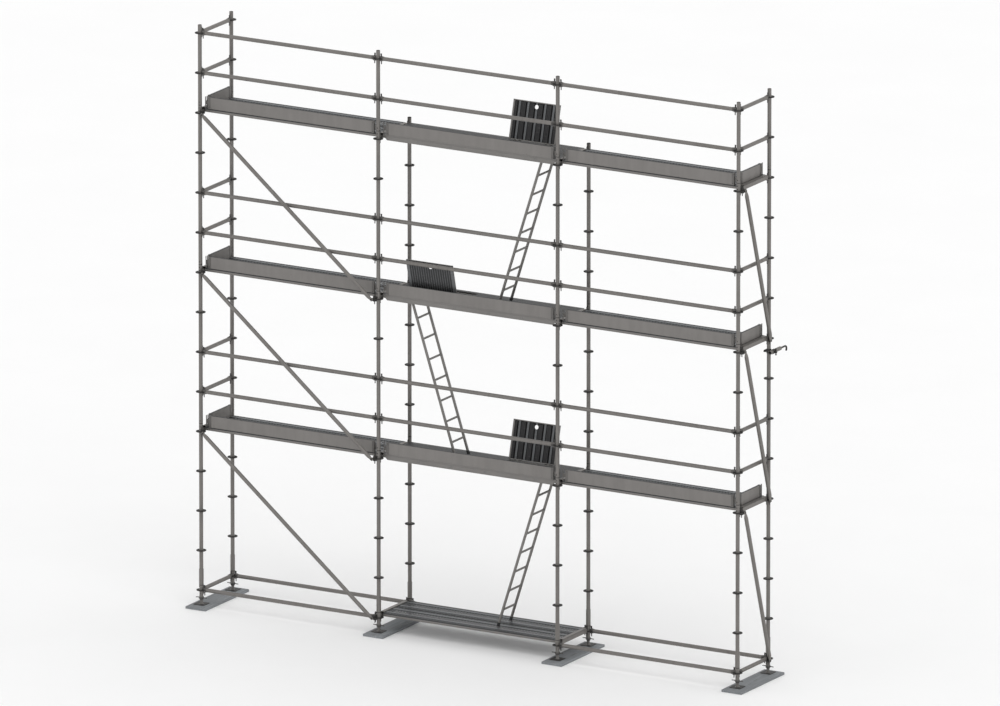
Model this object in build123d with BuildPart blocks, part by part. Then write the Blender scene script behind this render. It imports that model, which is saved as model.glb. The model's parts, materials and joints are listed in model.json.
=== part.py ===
from build123d import *
import math
import os

os.makedirs("parts", exist_ok=True)

# Modular ring-lock facade scaffold: three bays long, one bay deep, three working lifts.
# X runs along the facade, +Y points at the wall, +Z is up.  Lengths in millimetres.

# ---- grid of the scaffold
BAYS = 3
BAY = 2500.0            # standard to standard along the facade
WIDTH = 750.0           # front standard to back standard
LIFTS = 3
PITCH = 500.0           # rosette to rosette up a standard
LIFT_PITCHES = 4        # rosette pitches in one lift
LIFT = LIFT_PITCHES * PITCH
RAIL_PITCHES = (1, 2)   # guardrails, in rosette pitches above a level

# ---- tube and rosette
TUBE_OD = 48.3
TUBE_WALL = 3.2
TUBE_R = TUBE_OD / 2
TUBE_IR = TUBE_R - TUBE_WALL
ROSETTE_RING = 36.85    # width of a rosette outside its tube
ROSETTE_T = 9.0
ROSETTE_R = TUBE_R + ROSETTE_RING
WELD_GAP = 0.1          # drawn gap where a ring is welded round a tube
RIM = 7.0               # steel outside the wedge holes
SMALL_HOLE = (20.0, 16.0)   # radial, tangential
LARGE_HOLE = (20.0, 28.0)
HOLE_RING_R = ROSETTE_R - RIM - SMALL_HOLE[0] / 2

# ---- standards, spigots and their pins
JOINT_RISE = 100.0      # standard joint above the rosette of its level
SPIGOT_PLAY = 1.95      # spigot in the tube, on radius
SPIGOT_OD = 2 * (TUBE_IR - SPIGOT_PLAY)
SPIGOT_WALL = 3.0
SPIGOT_REACH = 150.0    # spigot length each side of a joint
PIN_R = 6.0
PIN_HOLE_R = 6.3
PIN_STEP = 36.0         # pin hole from the joint, above and below
SECOND_HOLE = 75.0      # second hole below the joint
PIN_OVERHANG = 4.0

# ---- base collar and screw jack
COLLAR_DOWN = 85.0      # collar tube below the base rosette
COLLAR_UP = 65.0        # seat of the first standard
SLEEVE_CLEAR = 0.3
SLEEVE_WALL = 4.05
SLEEVE_OD = TUBE_OD + 2 * (SLEEVE_CLEAR + SLEEVE_WALL)
SLEEVE_TOP = 265.0
SLEEVE_LAP = 30.0       # sleeve lap on the collar tube
SPINDLE_PLAY = 1.95     # spindle in the collar, on radius
SPINDLE_OD = 2 * (TUBE_IR - SPINDLE_PLAY)
SPINDLE_WALL = 4.5
SPINDLE_TOP = 325.0
NUT_WALL = 11.0
NUT_OD = SPINDLE_OD + 2 * NUT_WALL
NUT_H = 35.0
NUT_GAP = 0.3
THREAD_FIT = 0.08       # running clearance of nut on spindle, on radius
HANDLE_REACH = 78.0
HANDLE_T = 12.0
HANDLE_DROP = 6.0       # handles below the top of the nut
PLATE = 150.0
PLATE_T = 6.0
PLATE_TOP = -172.0      # base plate top from the base rosette
BOARD_T = 30.0
BOARD_LEFT = 115.0      # sole board past its standards, each way
BOARD_RIGHT = 164.0
BOARD_FRONT = 187.0
BOARD_BACK = 113.0

# ---- wedge heads
HEAD_FACE = TUBE_R + 1.85   # head face from the standard axis
HEAD_REACH = ROSETTE_R + 17.0   # where the tube starts
HEAD_RISE = 4.0         # tube axis above the rosette
HEAD_LIP = 30.0         # head above and below the rosette
HEAD_HALF = 17.0
NOSE_HALF = 10.0
NOSE_END = HOLE_RING_R + 4.0
JAW_CLEAR = 0.5
JAW_DEPTH = 1.0         # back of the jaw past the rosette
BRACE_HEAD_HALF = 16.0
WEDGE_T = 6.0
WEDGE_BACK = HOLE_RING_R + 9.0      # straight back edge from the standard axis
WEDGE_TOP = (HOLE_RING_R - 11.0, 66.0)  # nose of the wedge, radius and height
WEDGE_TIP = (HOLE_RING_R - 1.0, -66.0)
SLOT_CLEAR = 0.5

# ---- deck transoms and locks
U_WIDTH = 50.0
U_WALL = 3.5
U_BOTTOM = -4.0
U_TOP = 46.0
CLAW_T = 4.0
CLAW_W = 45.0
CLAW_OUT = 2.0          # claw clear of the flange, outside and inside
CLAW_IN = 1.0
LOCK_T = 3.0
LOCK_END = HEAD_REACH + 12.0    # lock strip end from the standard axis
LOCK_W = 48.0

# ---- steel planks
DECK_EDGE = 49.0        # deck side from the standard axes
PLANK_GAP = 12.0
PLANKS = 2
PLANK_W = (WIDTH - 2 * DECK_EDGE - (PLANKS - 1) * PLANK_GAP) / PLANKS
PLANK_LIFT = 1.0        # plank above the rosettes
PLANK_BOTTOM = ROSETTE_T / 2 + PLANK_LIFT
PLANK_H = 42.0
DECK_TOP = PLANK_BOTTOM + PLANK_H
PLANK_T = 2.0
PLANK_CHAMFER = 12.0
PLANK_LIP = 20.0
PLANK_START = 32.0      # plank end from the transom axis
CAP_T = 3.0
CAP_CLEAR = 0.5         # end cap inside the folded sheet, above and below

# ---- access decks and hatches
BEAM_W = 40.0
BEAM_T = 4.0
BEAM_BOTTOM = -20.0
BEAM_NOTCH = 35.0       # length lifted clear of the rosettes at each end
BEAM_SLOPE = 27.0
PANEL_T = 3.0
CROSS_BOTTOM = -5.0
CROSS_W = 40.0
HATCH_L = 650.0
HATCH_START = 1485.0    # opening from the left standard, upright decks
HATCH_GAP = 3.0         # leaf to opening
FREE_RIM = 18.0         # tread beside the opening, at the leaf's free edge
HINGE_RIM = 58.0        # and behind its hinges
HATCH_T = 18.0
HATCH_REST = 14.276     # open leaf to the guardrail tube it leans over
HATCH_BARS = 6
BAR_W = 58.0
FINGER_R = 28.0
FINGER_IN = 62.0
HINGE_PIN_R = 4.0
HINGE_FIT = 0.1
KNUCKLE_R = 6.0
KNUCKLE_L = 30.0
KNUCKLE_GAP = 1.0
HINGE_PIN_OUT = 1.0     # pin past the knuckles
KNUCKLE_TAB = 24.0
TAB_T = 2.5
HINGE_INSET = 110.0
SILL_W = 24.0
SEAT_GAP = 0.5          # shut leaf above its sill

# ---- ladders
STILE_OD = 34.0
STILE_WALL = 2.0
STILE_GAUGE = 305.0
RUNG_OD = 26.0
RUNG_STEP = 261.0
TOP_RUNG_GAP = 0.5      # least share of a step between the top rung and the pin
FIRST_RUNG = 222.0      # lowest rung from the foot
LADDER_DROP = 30.0      # hinge pin below the rosette height of its level
LADDER_LEAN = 17.8      # degrees from upright
LADDER_HEAD = 16.0      # stile above the pin
FOOT_CLEAR = 1.0
LUG_T = 8.0
LUG_GAP = 3.0
LADDER_PIN_R = 6.0

# ---- toe boards
TOE_H = 150.0
TOE_T = 25.0
TOE_OUT = 4.0           # board past the side of the deck
TOE_FACE = DECK_EDGE - TOE_OUT      # front face from the standard axis
TOE_REACH = 44.0        # from the end of a board to its locating pin
TOE_PIN_X = 44.0        # locating pin from the standard axis, along the board
TOE_END = TOE_PIN_X + TOE_REACH
END_TOE_FACE = 37.0
END_TOE_GAP = 14.0      # pin of an end board to the front board
END_TOE_END = TOE_FACE + TOE_T + END_TOE_GAP + TOE_REACH
TOE_CAP = 30.0
TOE_CAP_T = 3.0
TOE_PIN_R = 6.0
TOE_PIN_H = 147.0
TOE_TAB_H = 50.0

# ---- braces
BRACE_OFFSET = ROSETTE_R + 5.0  # brace axis outside the standards
BRACE_PIVOT = ROSETTE_R + 3.0   # pivot from the standard, along the brace
BRACE_DROP = 5.0
BRACE_START = 22.0      # tube end from the pivot
TONGUE_T = 12.0
TONGUE_W = 36.0
LUG_CLEAR = 0.3
LUG_LAP = 6.0           # lug into the end face of its head
RIVET_R = 8.0
RIVET_HEAD_R = 12.0
RIVET_HEAD_T = 3.0
RIVET_GRIP = 1.0        # shank past the tongue and lug
BRACE_NOSE = ROSETTE_R + 5.0

# ---- wall tie
TIE_DROP = 158.0        # below the rosette of its level
TIE_LEVEL = 2
TIE_FRONT = 80.0        # tube past the standard, away from the wall
TIE_TUBE_END = 170.0
TIE_REACH = 340.0
TIE_ROD_R = 11.0
TIE_HOOK_R = 36.0
TIE_HOOK_TURN = 135.0   # degrees that the rod bends through
COUPLER_T = 5.0
COUPLER_H = 50.0
COUPLER_CLEAR = 0.15
COUPLER_LAP = 0.6       # rings of the coupler into each other
RING_R = TUBE_R + COUPLER_CLEAR + COUPLER_T
TIE_X = 2 * RING_R - COUPLER_LAP    # tie axis from the standard axis
EAR = 22.0
BOLT_R = 7.0

# ---- places, all from the grid
LENGTH = BAYS * BAY
X0 = (BOARD_LEFT - LENGTH - BOARD_RIGHT) / 2
Y0 = (BOARD_FRONT - WIDTH - TIE_REACH) / 2
Z0 = BOARD_T + PLATE_T - PLATE_TOP      # base rosette above the ground
STANDARD_X = [X0 + i * BAY for i in range(BAYS + 1)]
FRONT = Y0
BACK = Y0 + WIDTH
LEVELS = [Z0 + i * LIFT for i in range(LIFTS + 1)]
POST = RAIL_PITCHES[-1] * PITCH
GRID = [(x, y) for x in STANDARD_X for y in (FRONT, BACK)]
INNER_BACK = [(x, BACK) for x in STANDARD_X[1:-1]]
TALL = [p for p in GRID if p not in INNER_BACK]
MIDDLE_BAY = BAYS // 2
DECK_BAYS = [b for b in range(BAYS) if b != MIDDLE_BAY]


def finish(block, name):
    """Name a finished sub-part and write it out."""
    block.part.label = name
    export_step(block.part, f"parts/{name}.step")


def tubes_x(starts, length, radius, bore):
    """Round tubes along +X from a list of (x, y, z) start points."""
    with BuildPart() as made:
        for x in sorted({p[0] for p in starts}):
            with BuildSketch(Plane.YZ.offset(x)):
                with Locations(*[(p[1], p[2]) for p in starts if p[0] == x]):
                    Circle(radius)
                    Circle(bore, mode=Mode.SUBTRACT)
            extrude(amount=length)
    return made


def tubes_y(starts, length, radius, bore):
    """Round tubes along +Y from a list of (x, y, z) start points."""
    with BuildPart() as made:
        for y in sorted({p[1] for p in starts}):
            with BuildSketch(Plane.XZ.offset(-y)):
                with Locations(*[(p[0], p[2]) for p in starts if p[1] == y]):
                    Circle(radius)
                    Circle(bore, mode=Mode.SUBTRACT)
            extrude(amount=-length)
    return made


def copies(piece, places):
    """One sub-part holding a copy of a piece at each location."""
    with BuildPart() as made:
        with Locations(*places):
            add(piece.part)
    return made


def at(x, y, z, turn=0.0):
    return Location((x, y, z), (0, 0, turn))


# ---- base collars: a short tube with a sleeve that takes the first standard
with BuildPart() as base_collars:
    with BuildSketch(Plane.XY.offset(Z0 - COLLAR_DOWN)):
        with Locations(*GRID):
            Circle(TUBE_R)
    extrude(amount=COLLAR_DOWN + COLLAR_UP)
    with BuildSketch(Plane.XY.offset(Z0 + COLLAR_UP - SLEEVE_LAP)):
        with Locations(*GRID):
            Circle(SLEEVE_OD / 2)
    extrude(amount=SLEEVE_LAP + SLEEVE_TOP - COLLAR_UP)
    with BuildSketch(Plane.XY.offset(Z0 + COLLAR_UP)):
        with Locations(*GRID):
            Circle(TUBE_R + SLEEVE_CLEAR)
    extrude(amount=SLEEVE_TOP - COLLAR_UP, mode=Mode.SUBTRACT)
    with BuildSketch(Plane.XY.offset(Z0 - COLLAR_DOWN)):
        with Locations(*GRID):
            Circle(TUBE_IR)
    extrude(amount=COLLAR_DOWN + COLLAR_UP, mode=Mode.SUBTRACT)
    with BuildSketch(Plane.XZ.offset(-BACK - SLEEVE_OD)):
        with Locations(*[(x, Z0 + h) for x in STANDARD_X for h in (2 * COLLAR_UP, -COLLAR_DOWN / 2)]):
            Circle(PIN_HOLE_R)
    extrude(amount=WIDTH + 2 * SLEEVE_OD, mode=Mode.SUBTRACT)
finish(base_collars, "base_collars")


# ---- standards, one node a lift, and the guardrail posts on top
def standards(points, bottom, top, joints):
    """Upright tubes with the pin holes that belong to the joints they touch."""
    heights = [j + s for j in joints for s in (PIN_STEP, -PIN_STEP, -SECOND_HOLE) if bottom < j + s < top]
    with BuildPart() as made:
        with BuildSketch(Plane.XY.offset(bottom)):
            with Locations(*points):
                Circle(TUBE_R)
                Circle(TUBE_IR, mode=Mode.SUBTRACT)
        extrude(amount=top - bottom)
        with BuildSketch(Plane.XZ.offset(-BACK - TUBE_OD)):
            with Locations(*[(x, h) for x in STANDARD_X for h in heights]):
                Circle(PIN_HOLE_R)
        extrude(amount=WIDTH + 2 * TUBE_OD, mode=Mode.SUBTRACT)
    return made


JOINTS = [z + JOINT_RISE for z in LEVELS[1:]]
ENDS = [Z0 + COLLAR_UP] + JOINTS
for lift in range(LIFTS):
    finish(standards(GRID, ENDS[lift], ENDS[lift + 1], JOINTS), f"standards_lift_{lift + 1}")
POST_TOP = JOINTS[-1] + POST
finish(standards(TALL, JOINTS[-1], POST_TOP, JOINTS), "guardrail_posts")

# ---- spigots inside the joints, each held by a pin in the lower standard
SPIGOT_PLACES = [(p, z) for z in JOINTS for p in (GRID if z < JOINTS[-1] else TALL)]
with BuildPart() as spigot:
    with BuildSketch(Plane.XY.offset(-SPIGOT_REACH)):
        Circle(SPIGOT_OD / 2)
        Circle(SPIGOT_OD / 2 - SPIGOT_WALL, mode=Mode.SUBTRACT)
    extrude(amount=2 * SPIGOT_REACH)
    with BuildSketch(Plane.XZ.offset(-SPIGOT_OD)):
        with Locations((0, PIN_STEP), (0, -PIN_STEP)):
            Circle(PIN_HOLE_R)
    extrude(amount=2 * SPIGOT_OD, mode=Mode.SUBTRACT)
spigots = copies(spigot, [at(*p, z) for p, z in SPIGOT_PLACES])
finish(spigots, "spigots")

PIN_L = TUBE_OD + 2 * PIN_OVERHANG
with BuildPart() as spigot_pins:
    for y in (FRONT, BACK):
        with BuildSketch(Plane.XZ.offset(-y - PIN_L / 2)):
            with Locations(*[(p[0], z - PIN_STEP) for p, z in SPIGOT_PLACES if p[1] == y]):
                Circle(PIN_R)
        extrude(amount=PIN_L)
finish(spigot_pins, "spigot_pins")

# ---- rosettes: four small holes on the grid axes, four large ones between
with BuildPart() as rosette:
    with BuildSketch(Plane.XY.offset(-ROSETTE_T / 2)):
        Circle(ROSETTE_R)
        Circle(TUBE_R + WELD_GAP, mode=Mode.SUBTRACT)
        with PolarLocations(HOLE_RING_R, 4):
            Rectangle(*SMALL_HOLE, mode=Mode.SUBTRACT)
        with PolarLocations(HOLE_RING_R, 4, start_angle=45):
            Rectangle(*LARGE_HOLE, mode=Mode.SUBTRACT)
    extrude(amount=ROSETTE_T)

ROSETTES_UP = LIFTS * LIFT_PITCHES
rings = [at(*p, Z0 + k * PITCH) for p in GRID for k in range(ROSETTES_UP + RAIL_PITCHES[-1] + 1)
         if p in TALL or k <= ROSETTES_UP]
finish(copies(rosette, rings), "rosettes")

# ---- ledgers and guardrails
LEVEL_RAILS = [z + k * PITCH for z in LEVELS[1:] for k in RAIL_PITCHES]
BASE_RUNS = [(b, y) for b in range(BAYS) for y in (FRONT, BACK) if b != MIDDLE_BAY or y == BACK]
RAIL_RUNS = [(b, FRONT, z) for z in LEVEL_RAILS for b in range(BAYS)]
END_RAILS = [(x, z) for x in (STANDARD_X[0], STANDARD_X[-1]) for z in LEVEL_RAILS]
BASE_ENDS = [(x, Z0) for x in (STANDARD_X[0], STANDARD_X[-1])]
RUN_X = BAY - 2 * HEAD_REACH
RUN_Y = WIDTH - 2 * HEAD_REACH

base_starts = [(STANDARD_X[b] + HEAD_REACH, y, Z0 + HEAD_RISE) for b, y in BASE_RUNS]
end_starts = [(x, FRONT + HEAD_REACH, z + HEAD_RISE) for x, z in BASE_ENDS]
with BuildPart() as base_ledgers:
    add(tubes_x(base_starts, RUN_X, TUBE_R, TUBE_IR).part)
    add(tubes_y(end_starts, RUN_Y, TUBE_R, TUBE_IR).part)
finish(base_ledgers, "base_ledgers")
rail_starts = [(STANDARD_X[b] + HEAD_REACH, y, z + HEAD_RISE) for b, y, z in RAIL_RUNS]
finish(tubes_x(rail_starts, RUN_X, TUBE_R, TUBE_IR), "guardrails")
end_starts = [(x, FRONT + HEAD_REACH, z + HEAD_RISE) for x, z in END_RAILS]
finish(tubes_y(end_starts, RUN_Y, TUBE_R, TUBE_IR), "end_guardrails")

# ---- wedge heads: two jaws over the rosette, a slot for the wedge, a socket face for the tube
JAW = ROSETTE_T / 2 + JAW_CLEAR
JAW_BACK = ROSETTE_R + JAW_DEPTH


def jaw_profile(reach, end_top, end_bottom):
    """Side view of a head, open towards the standard."""
    Polyline(
        (HEAD_FACE, -HEAD_LIP), (HEAD_FACE, -JAW), (JAW_BACK, -JAW), (JAW_BACK, JAW),
        (HEAD_FACE, JAW), (HEAD_FACE, HEAD_LIP), (NOSE_END, HEAD_LIP + HEAD_RISE),
        (reach, end_top), (reach, end_bottom), (NOSE_END, -HEAD_LIP),
        close=True,
    )


def wedge_slot():
    """Slot that the wedge drops through, sized to the wedge."""
    with Locations(((WEDGE_TOP[0] + WEDGE_BACK) / 2 + SLOT_CLEAR, 0)):
        Rectangle(WEDGE_BACK - WEDGE_TOP[0], WEDGE_T + 2 * SLOT_CLEAR)


with BuildPart() as ledger_head:
    with BuildSketch(Plane.XZ):
        with BuildLine():
            jaw_profile(HEAD_REACH, TUBE_R + HEAD_RISE, HEAD_RISE - TUBE_R)
        make_face()
    extrude(amount=TUBE_R, both=True)
    with BuildSketch(Plane.XY.offset(-2 * HEAD_LIP)):
        with BuildLine():
            Polyline(
                (HEAD_FACE, -NOSE_HALF), (NOSE_END, -HEAD_HALF), (HEAD_REACH, -HEAD_HALF),
                (HEAD_REACH, HEAD_HALF), (NOSE_END, HEAD_HALF), (HEAD_FACE, NOSE_HALF), close=True,
            )
        make_face()
    extrude(amount=4 * HEAD_LIP, mode=Mode.INTERSECT)
    with BuildSketch(Plane.XY.offset(-2 * HEAD_LIP)):
        wedge_slot()
    extrude(amount=4 * HEAD_LIP, mode=Mode.SUBTRACT)

with BuildPart() as wedge:
    with BuildSketch(Plane.XZ):
        with BuildLine():
            Polyline(
                WEDGE_TOP, (WEDGE_BACK, WEDGE_TOP[1]), (WEDGE_BACK, WEDGE_TIP[1]), WEDGE_TIP, close=True,
            )
        make_face()
    extrude(amount=WEDGE_T / 2, both=True)


def both_ends_x(bay, y, z):
    return [at(STANDARD_X[bay], y, z), at(STANDARD_X[bay + 1], y, z, 180)]


def both_ends_y(x, z):
    return [at(x, FRONT, z, 90), at(x, BACK, z, -90)]


TRANSOMS = [(x, z) for z in LEVELS[1:] for x in STANDARD_X]
TRANSOMS += [(STANDARD_X[MIDDLE_BAY + i], Z0) for i in (0, 1)]
rail_heads = [p for b, y in BASE_RUNS for p in both_ends_x(b, y, Z0)]
rail_heads += [p for b, y, z in RAIL_RUNS for p in both_ends_x(b, y, z)]
rail_heads += [p for x, z in END_RAILS + BASE_ENDS for p in both_ends_y(x, z)]
transom_ends = [p for x, z in TRANSOMS for p in both_ends_y(x, z)]
finish(copies(ledger_head, rail_heads), "ledger_heads")
finish(copies(ledger_head, transom_ends), "transom_heads")
finish(copies(wedge, rail_heads + transom_ends), "wedges")

# ---- deck transoms: an open U between the heads, and the strip that locks the claws down
with BuildPart() as transom:
    with BuildSketch(Plane.XZ.offset(-HEAD_REACH)):
        with Locations((0, (U_BOTTOM + U_TOP) / 2)):
            Rectangle(U_WIDTH, U_TOP - U_BOTTOM)
        with Locations((0, (U_BOTTOM + U_TOP) / 2 + U_WALL)):
            Rectangle(U_WIDTH - 2 * U_WALL, U_TOP - U_BOTTOM, mode=Mode.SUBTRACT)
    extrude(amount=-RUN_Y)
finish(copies(transom, [at(x, FRONT, z) for x, z in TRANSOMS]), "deck_transoms")

with BuildPart() as lock_strip:
    with BuildSketch(Plane.XY.offset(U_TOP + CLAW_T)):
        with Locations((0, WIDTH / 2)):
            Rectangle(LOCK_W, WIDTH - 2 * LOCK_END)
    extrude(amount=LOCK_T)
finish(copies(lock_strip, [at(x, FRONT, z) for x, z in TRANSOMS]), "deck_locks")

# ---- steel planks: folded sheet channels with capped ends and claws
PLANK_L = BAY - 2 * PLANK_START
PLANK_PITCH = PLANK_W + PLANK_GAP
PLANK_Y = [FRONT + WIDTH / 2 + (i - (PLANKS - 1) / 2) * PLANK_PITCH for i in range(PLANKS)]
PLANK_RUNS = [(STANDARD_X[b], z) for z in LEVELS[1:] for b in DECK_BAYS] + [(STANDARD_X[MIDDLE_BAY], Z0)]


def plank_outline(half, top, bottom, corner):
    Polyline(
        (-half, bottom), (-half, top - corner), (corner - half, top),
        (half - corner, top), (half, top - corner), (half, bottom), close=True,
    )


with BuildPart() as plank:
    with BuildSketch(Plane.YZ.offset(PLANK_START)):
        with BuildLine():
            plank_outline(PLANK_W / 2, DECK_TOP, PLANK_BOTTOM, PLANK_CHAMFER)
        make_face()
        with BuildLine():
            plank_outline(PLANK_W / 2 - PLANK_T, DECK_TOP - PLANK_T, PLANK_BOTTOM + PLANK_T, PLANK_CHAMFER)
        make_face(mode=Mode.SUBTRACT)
        with Locations((0, PLANK_BOTTOM + PLANK_T / 2)):
            Rectangle(PLANK_W - 2 * PLANK_LIP, PLANK_T, mode=Mode.SUBTRACT)
    extrude(amount=PLANK_L)
finish(copies(plank, [at(x, y, z) for x, z in PLANK_RUNS for y in PLANK_Y]), "steel_planks")


def claw_outline():
    """A claw over the transom flange, seen from the side, with the transom axis at 0."""
    flange_out = U_WIDTH / 2 + CLAW_OUT
    flange_in = U_WIDTH / 2 - U_WALL - CLAW_IN
    Polyline(
        (PLANK_START, U_TOP + CLAW_T), (PLANK_START, U_TOP / 2), (flange_out, U_TOP / 2),
        (flange_out, U_TOP), (flange_in, U_TOP), (flange_in, U_TOP / 2),
        (flange_in - CLAW_T, U_TOP / 2), (flange_in - CLAW_T, U_TOP + CLAW_T), close=True,
    )


with BuildPart() as plank_end:
    for side in (-1, 1):
        with BuildSketch(Plane.XZ.offset(-side * PLANK_W / 4)):
            with BuildLine():
                claw_outline()
            make_face()
        extrude(amount=CLAW_W / 2, both=True)
    with BuildSketch(Plane.YZ.offset(PLANK_START)):
        with Locations((0, (DECK_TOP + PLANK_BOTTOM) / 2)):
            Rectangle(PLANK_W - 2 * (PLANK_CHAMFER + PLANK_T), PLANK_H - 2 * (PLANK_T + CAP_CLEAR))
    extrude(amount=CAP_T)
ends = [at(x, y, z) for x, z in PLANK_RUNS for y in PLANK_Y]
ends += [at(x + BAY, y, z, 180) for x, z in PLANK_RUNS for y in PLANK_Y]
finish(copies(plank_end, ends), "plank_claws")

# ---- access decks in the middle bay: frame, tread panels and claws round a hatch opening
INNER = (DECK_EDGE + BEAM_W, WIDTH - DECK_EDGE - BEAM_W)
HATCH_EDGE = INNER[1] - HINGE_RIM - HATCH_GAP       # hinge line
HATCH_W = HATCH_EDGE - INNER[0] - FREE_RIM - HATCH_GAP
HOLE_X = (HATCH_START - HATCH_GAP, HATCH_START + HATCH_L + HATCH_GAP)
HOLE_Y = (HATCH_EDGE - HATCH_W - HATCH_GAP, HATCH_EDGE + HATCH_GAP)
FRAME_TOP = DECK_TOP - PANEL_T


def bar(x_range, y_range, z_range):
    """A straight square-cut member between given faces."""
    low, high = zip(x_range, y_range, z_range)
    with Locations(tuple((a + b) / 2 for a, b in zip(low, high))):
        Box(*[b - a for a, b in zip(low, high)])


def beam_side():
    """Side view of a long beam, its ends lifted over the rosettes."""
    start, end = PLANK_START, BAY - PLANK_START
    step = BEAM_NOTCH + BEAM_SLOPE
    Polyline(
        (start, PLANK_BOTTOM), (start + BEAM_NOTCH, PLANK_BOTTOM), (start + step, BEAM_BOTTOM),
        (end - step, BEAM_BOTTOM), (end - BEAM_NOTCH, PLANK_BOTTOM), (end, PLANK_BOTTOM),
        (end, DECK_TOP), (start, DECK_TOP), close=True,
    )


FLANGE_X = (PLANK_START + BEAM_NOTCH + BEAM_SLOPE, BAY - PLANK_START - BEAM_NOTCH - BEAM_SLOPE)
LADDER_X = HOLE_X[1] + CROSS_W / 2      # the ladder hangs under the cross member past the hatch
CROSS_X = [HOLE_X[0] - CROSS_W / 2, LADDER_X]
FREE_SPAN = HOLE_X[0] - CROSS_W - PLANK_START - CROSS_W
STIFFENERS = [PLANK_START + CROSS_W + FREE_SPAN * i / 3 for i in (1, 2)]
with BuildPart() as deck_frame:
    for edge, inward in ((DECK_EDGE, 1), (WIDTH - DECK_EDGE, -1)):
        with BuildSketch(Plane.XZ.offset(-edge)):
            with BuildLine():
                beam_side()
            make_face()
        extrude(amount=-inward * BEAM_T)
        flange = sorted((edge, edge + inward * BEAM_W))
        bar((PLANK_START, BAY - PLANK_START), flange, (DECK_TOP - BEAM_T, DECK_TOP))
        bar(FLANGE_X, flange, (BEAM_BOTTOM, BEAM_BOTTOM + BEAM_T))
    for x in (PLANK_START, BAY - PLANK_START - CROSS_W):
        bar((x, x + CROSS_W), INNER, (PLANK_BOTTOM, FRAME_TOP))
    for x in CROSS_X + STIFFENERS:
        bar((x - CROSS_W / 2, x + CROSS_W / 2), INNER, (CROSS_BOTTOM, FRAME_TOP))
    sill_y = (HOLE_Y[0] - SILL_W / 2, HOLE_Y[0] + SILL_W / 2)
    bar(HOLE_X, sill_y, (CROSS_BOTTOM, DECK_TOP - HATCH_T - SEAT_GAP))

with BuildPart() as deck_panels:
    tread = (FRAME_TOP, DECK_TOP)
    bar((PLANK_START, HOLE_X[0]), INNER, tread)
    bar((HOLE_X[1], BAY - PLANK_START), INNER, tread)
    bar(HOLE_X, (INNER[0], HOLE_Y[0]), tread)
    bar(HOLE_X, (HOLE_Y[1], INNER[1]), tread)

OUTER_CLAW = PLANK_PITCH / 2 + PLANK_W / 4      # in line with the outer claws of the planks
with BuildPart() as deck_claws:
    for y in (WIDTH / 2 - OUTER_CLAW, WIDTH / 2 + OUTER_CLAW):
        with BuildSketch(Plane.XZ.offset(-y)):
            with BuildLine():
                claw_outline()
            make_face()
        extrude(amount=CLAW_W / 2, both=True)

# the middle deck of the tower is turned end for end, so that the ladders zigzag
DECK_X = STANDARD_X[MIDDLE_BAY]


def deck_places(level):
    """Location of an access deck: turned half round on every second level."""
    z = LEVELS[level]
    if level % 2:
        return at(DECK_X, FRONT, z)
    return at(DECK_X + BAY, BACK, z, 180)


DECK_LEVELS = range(1, LIFTS + 1)
finish(copies(deck_frame, [deck_places(i) for i in DECK_LEVELS]), "access_deck_frames")
finish(copies(deck_panels, [deck_places(i) for i in DECK_LEVELS]), "access_deck_panels")
claw_ends = [at(DECK_X, FRONT, LEVELS[i]) for i in DECK_LEVELS]
claw_ends += [at(DECK_X + BAY, BACK, LEVELS[i], 180) for i in DECK_LEVELS]
finish(copies(deck_claws, claw_ends), "access_deck_claws")

# ---- hatches: a leaf on two hinges, built shut and turned open about its pin
HINGE_Y = HATCH_EDGE
HINGE_Z = DECK_TOP + KNUCKLE_R
RAIL_OUT = WIDTH - HINGE_Y          # guardrail from the hinge line, out and up
RAIL_UP = PITCH + HEAD_RISE - HINGE_Z
LEAN_BACK = math.acos((TUBE_R + HATCH_REST - KNUCKLE_R) / math.hypot(RAIL_OUT, RAIL_UP))
HATCH_OPEN = 90 + math.degrees(LEAN_BACK - math.atan2(RAIL_UP, RAIL_OUT))   # from shut
HINGE_X = [HATCH_START + HINGE_INSET, HATCH_START + HATCH_L - HINGE_INSET]
LEAF_Y = (HATCH_EDGE - HATCH_W, HATCH_EDGE - HATCH_GAP)
BAR_PITCH = (HATCH_L - BAR_W) / (HATCH_BARS - 1)
BAR_X = [HATCH_START + BAR_W / 2 + i * BAR_PITCH for i in range(HATCH_BARS)]


def knuckle(x, side, length):
    """A rolled knuckle with its tab lying on the deck, on one side of the pin."""
    bar((x - length / 2, x + length / 2), sorted((HINGE_Y, HINGE_Y + side * KNUCKLE_TAB)),
        (DECK_TOP, DECK_TOP + TAB_T))
    with Locations(Location((x, HINGE_Y, HINGE_Z), (0, 90, 0))):
        Cylinder(KNUCKLE_R, length)


with BuildPart() as leaf:
    bar((HATCH_START, HATCH_START + HATCH_L), LEAF_Y, (FRAME_TOP, DECK_TOP))
    for x in BAR_X:
        bar((x - BAR_W / 2, x + BAR_W / 2), LEAF_Y, (DECK_TOP - HATCH_T, FRAME_TOP))
    with Locations((HATCH_START + HATCH_L / 2, LEAF_Y[0] + FINGER_IN, DECK_TOP)):
        Cylinder(FINGER_R, 4 * HATCH_T, mode=Mode.SUBTRACT)
    for x in HINGE_X:
        knuckle(x, -1, KNUCKLE_L)
    with Locations(Location((HATCH_START + HATCH_L / 2, HINGE_Y, HINGE_Z), (0, 90, 0))):
        Cylinder(HINGE_PIN_R + HINGE_FIT, 2 * HATCH_L, mode=Mode.SUBTRACT)

with BuildPart() as hinge_mount:
    for x in HINGE_X:
        for side in (-1, 1):
            knuckle(x + side * (KNUCKLE_L + KNUCKLE_GAP), 1, KNUCKLE_L)
    with Locations(Location((HATCH_START + HATCH_L / 2, HINGE_Y, HINGE_Z), (0, 90, 0))):
        Cylinder(HINGE_PIN_R + HINGE_FIT, 2 * HATCH_L, mode=Mode.SUBTRACT)

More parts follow.
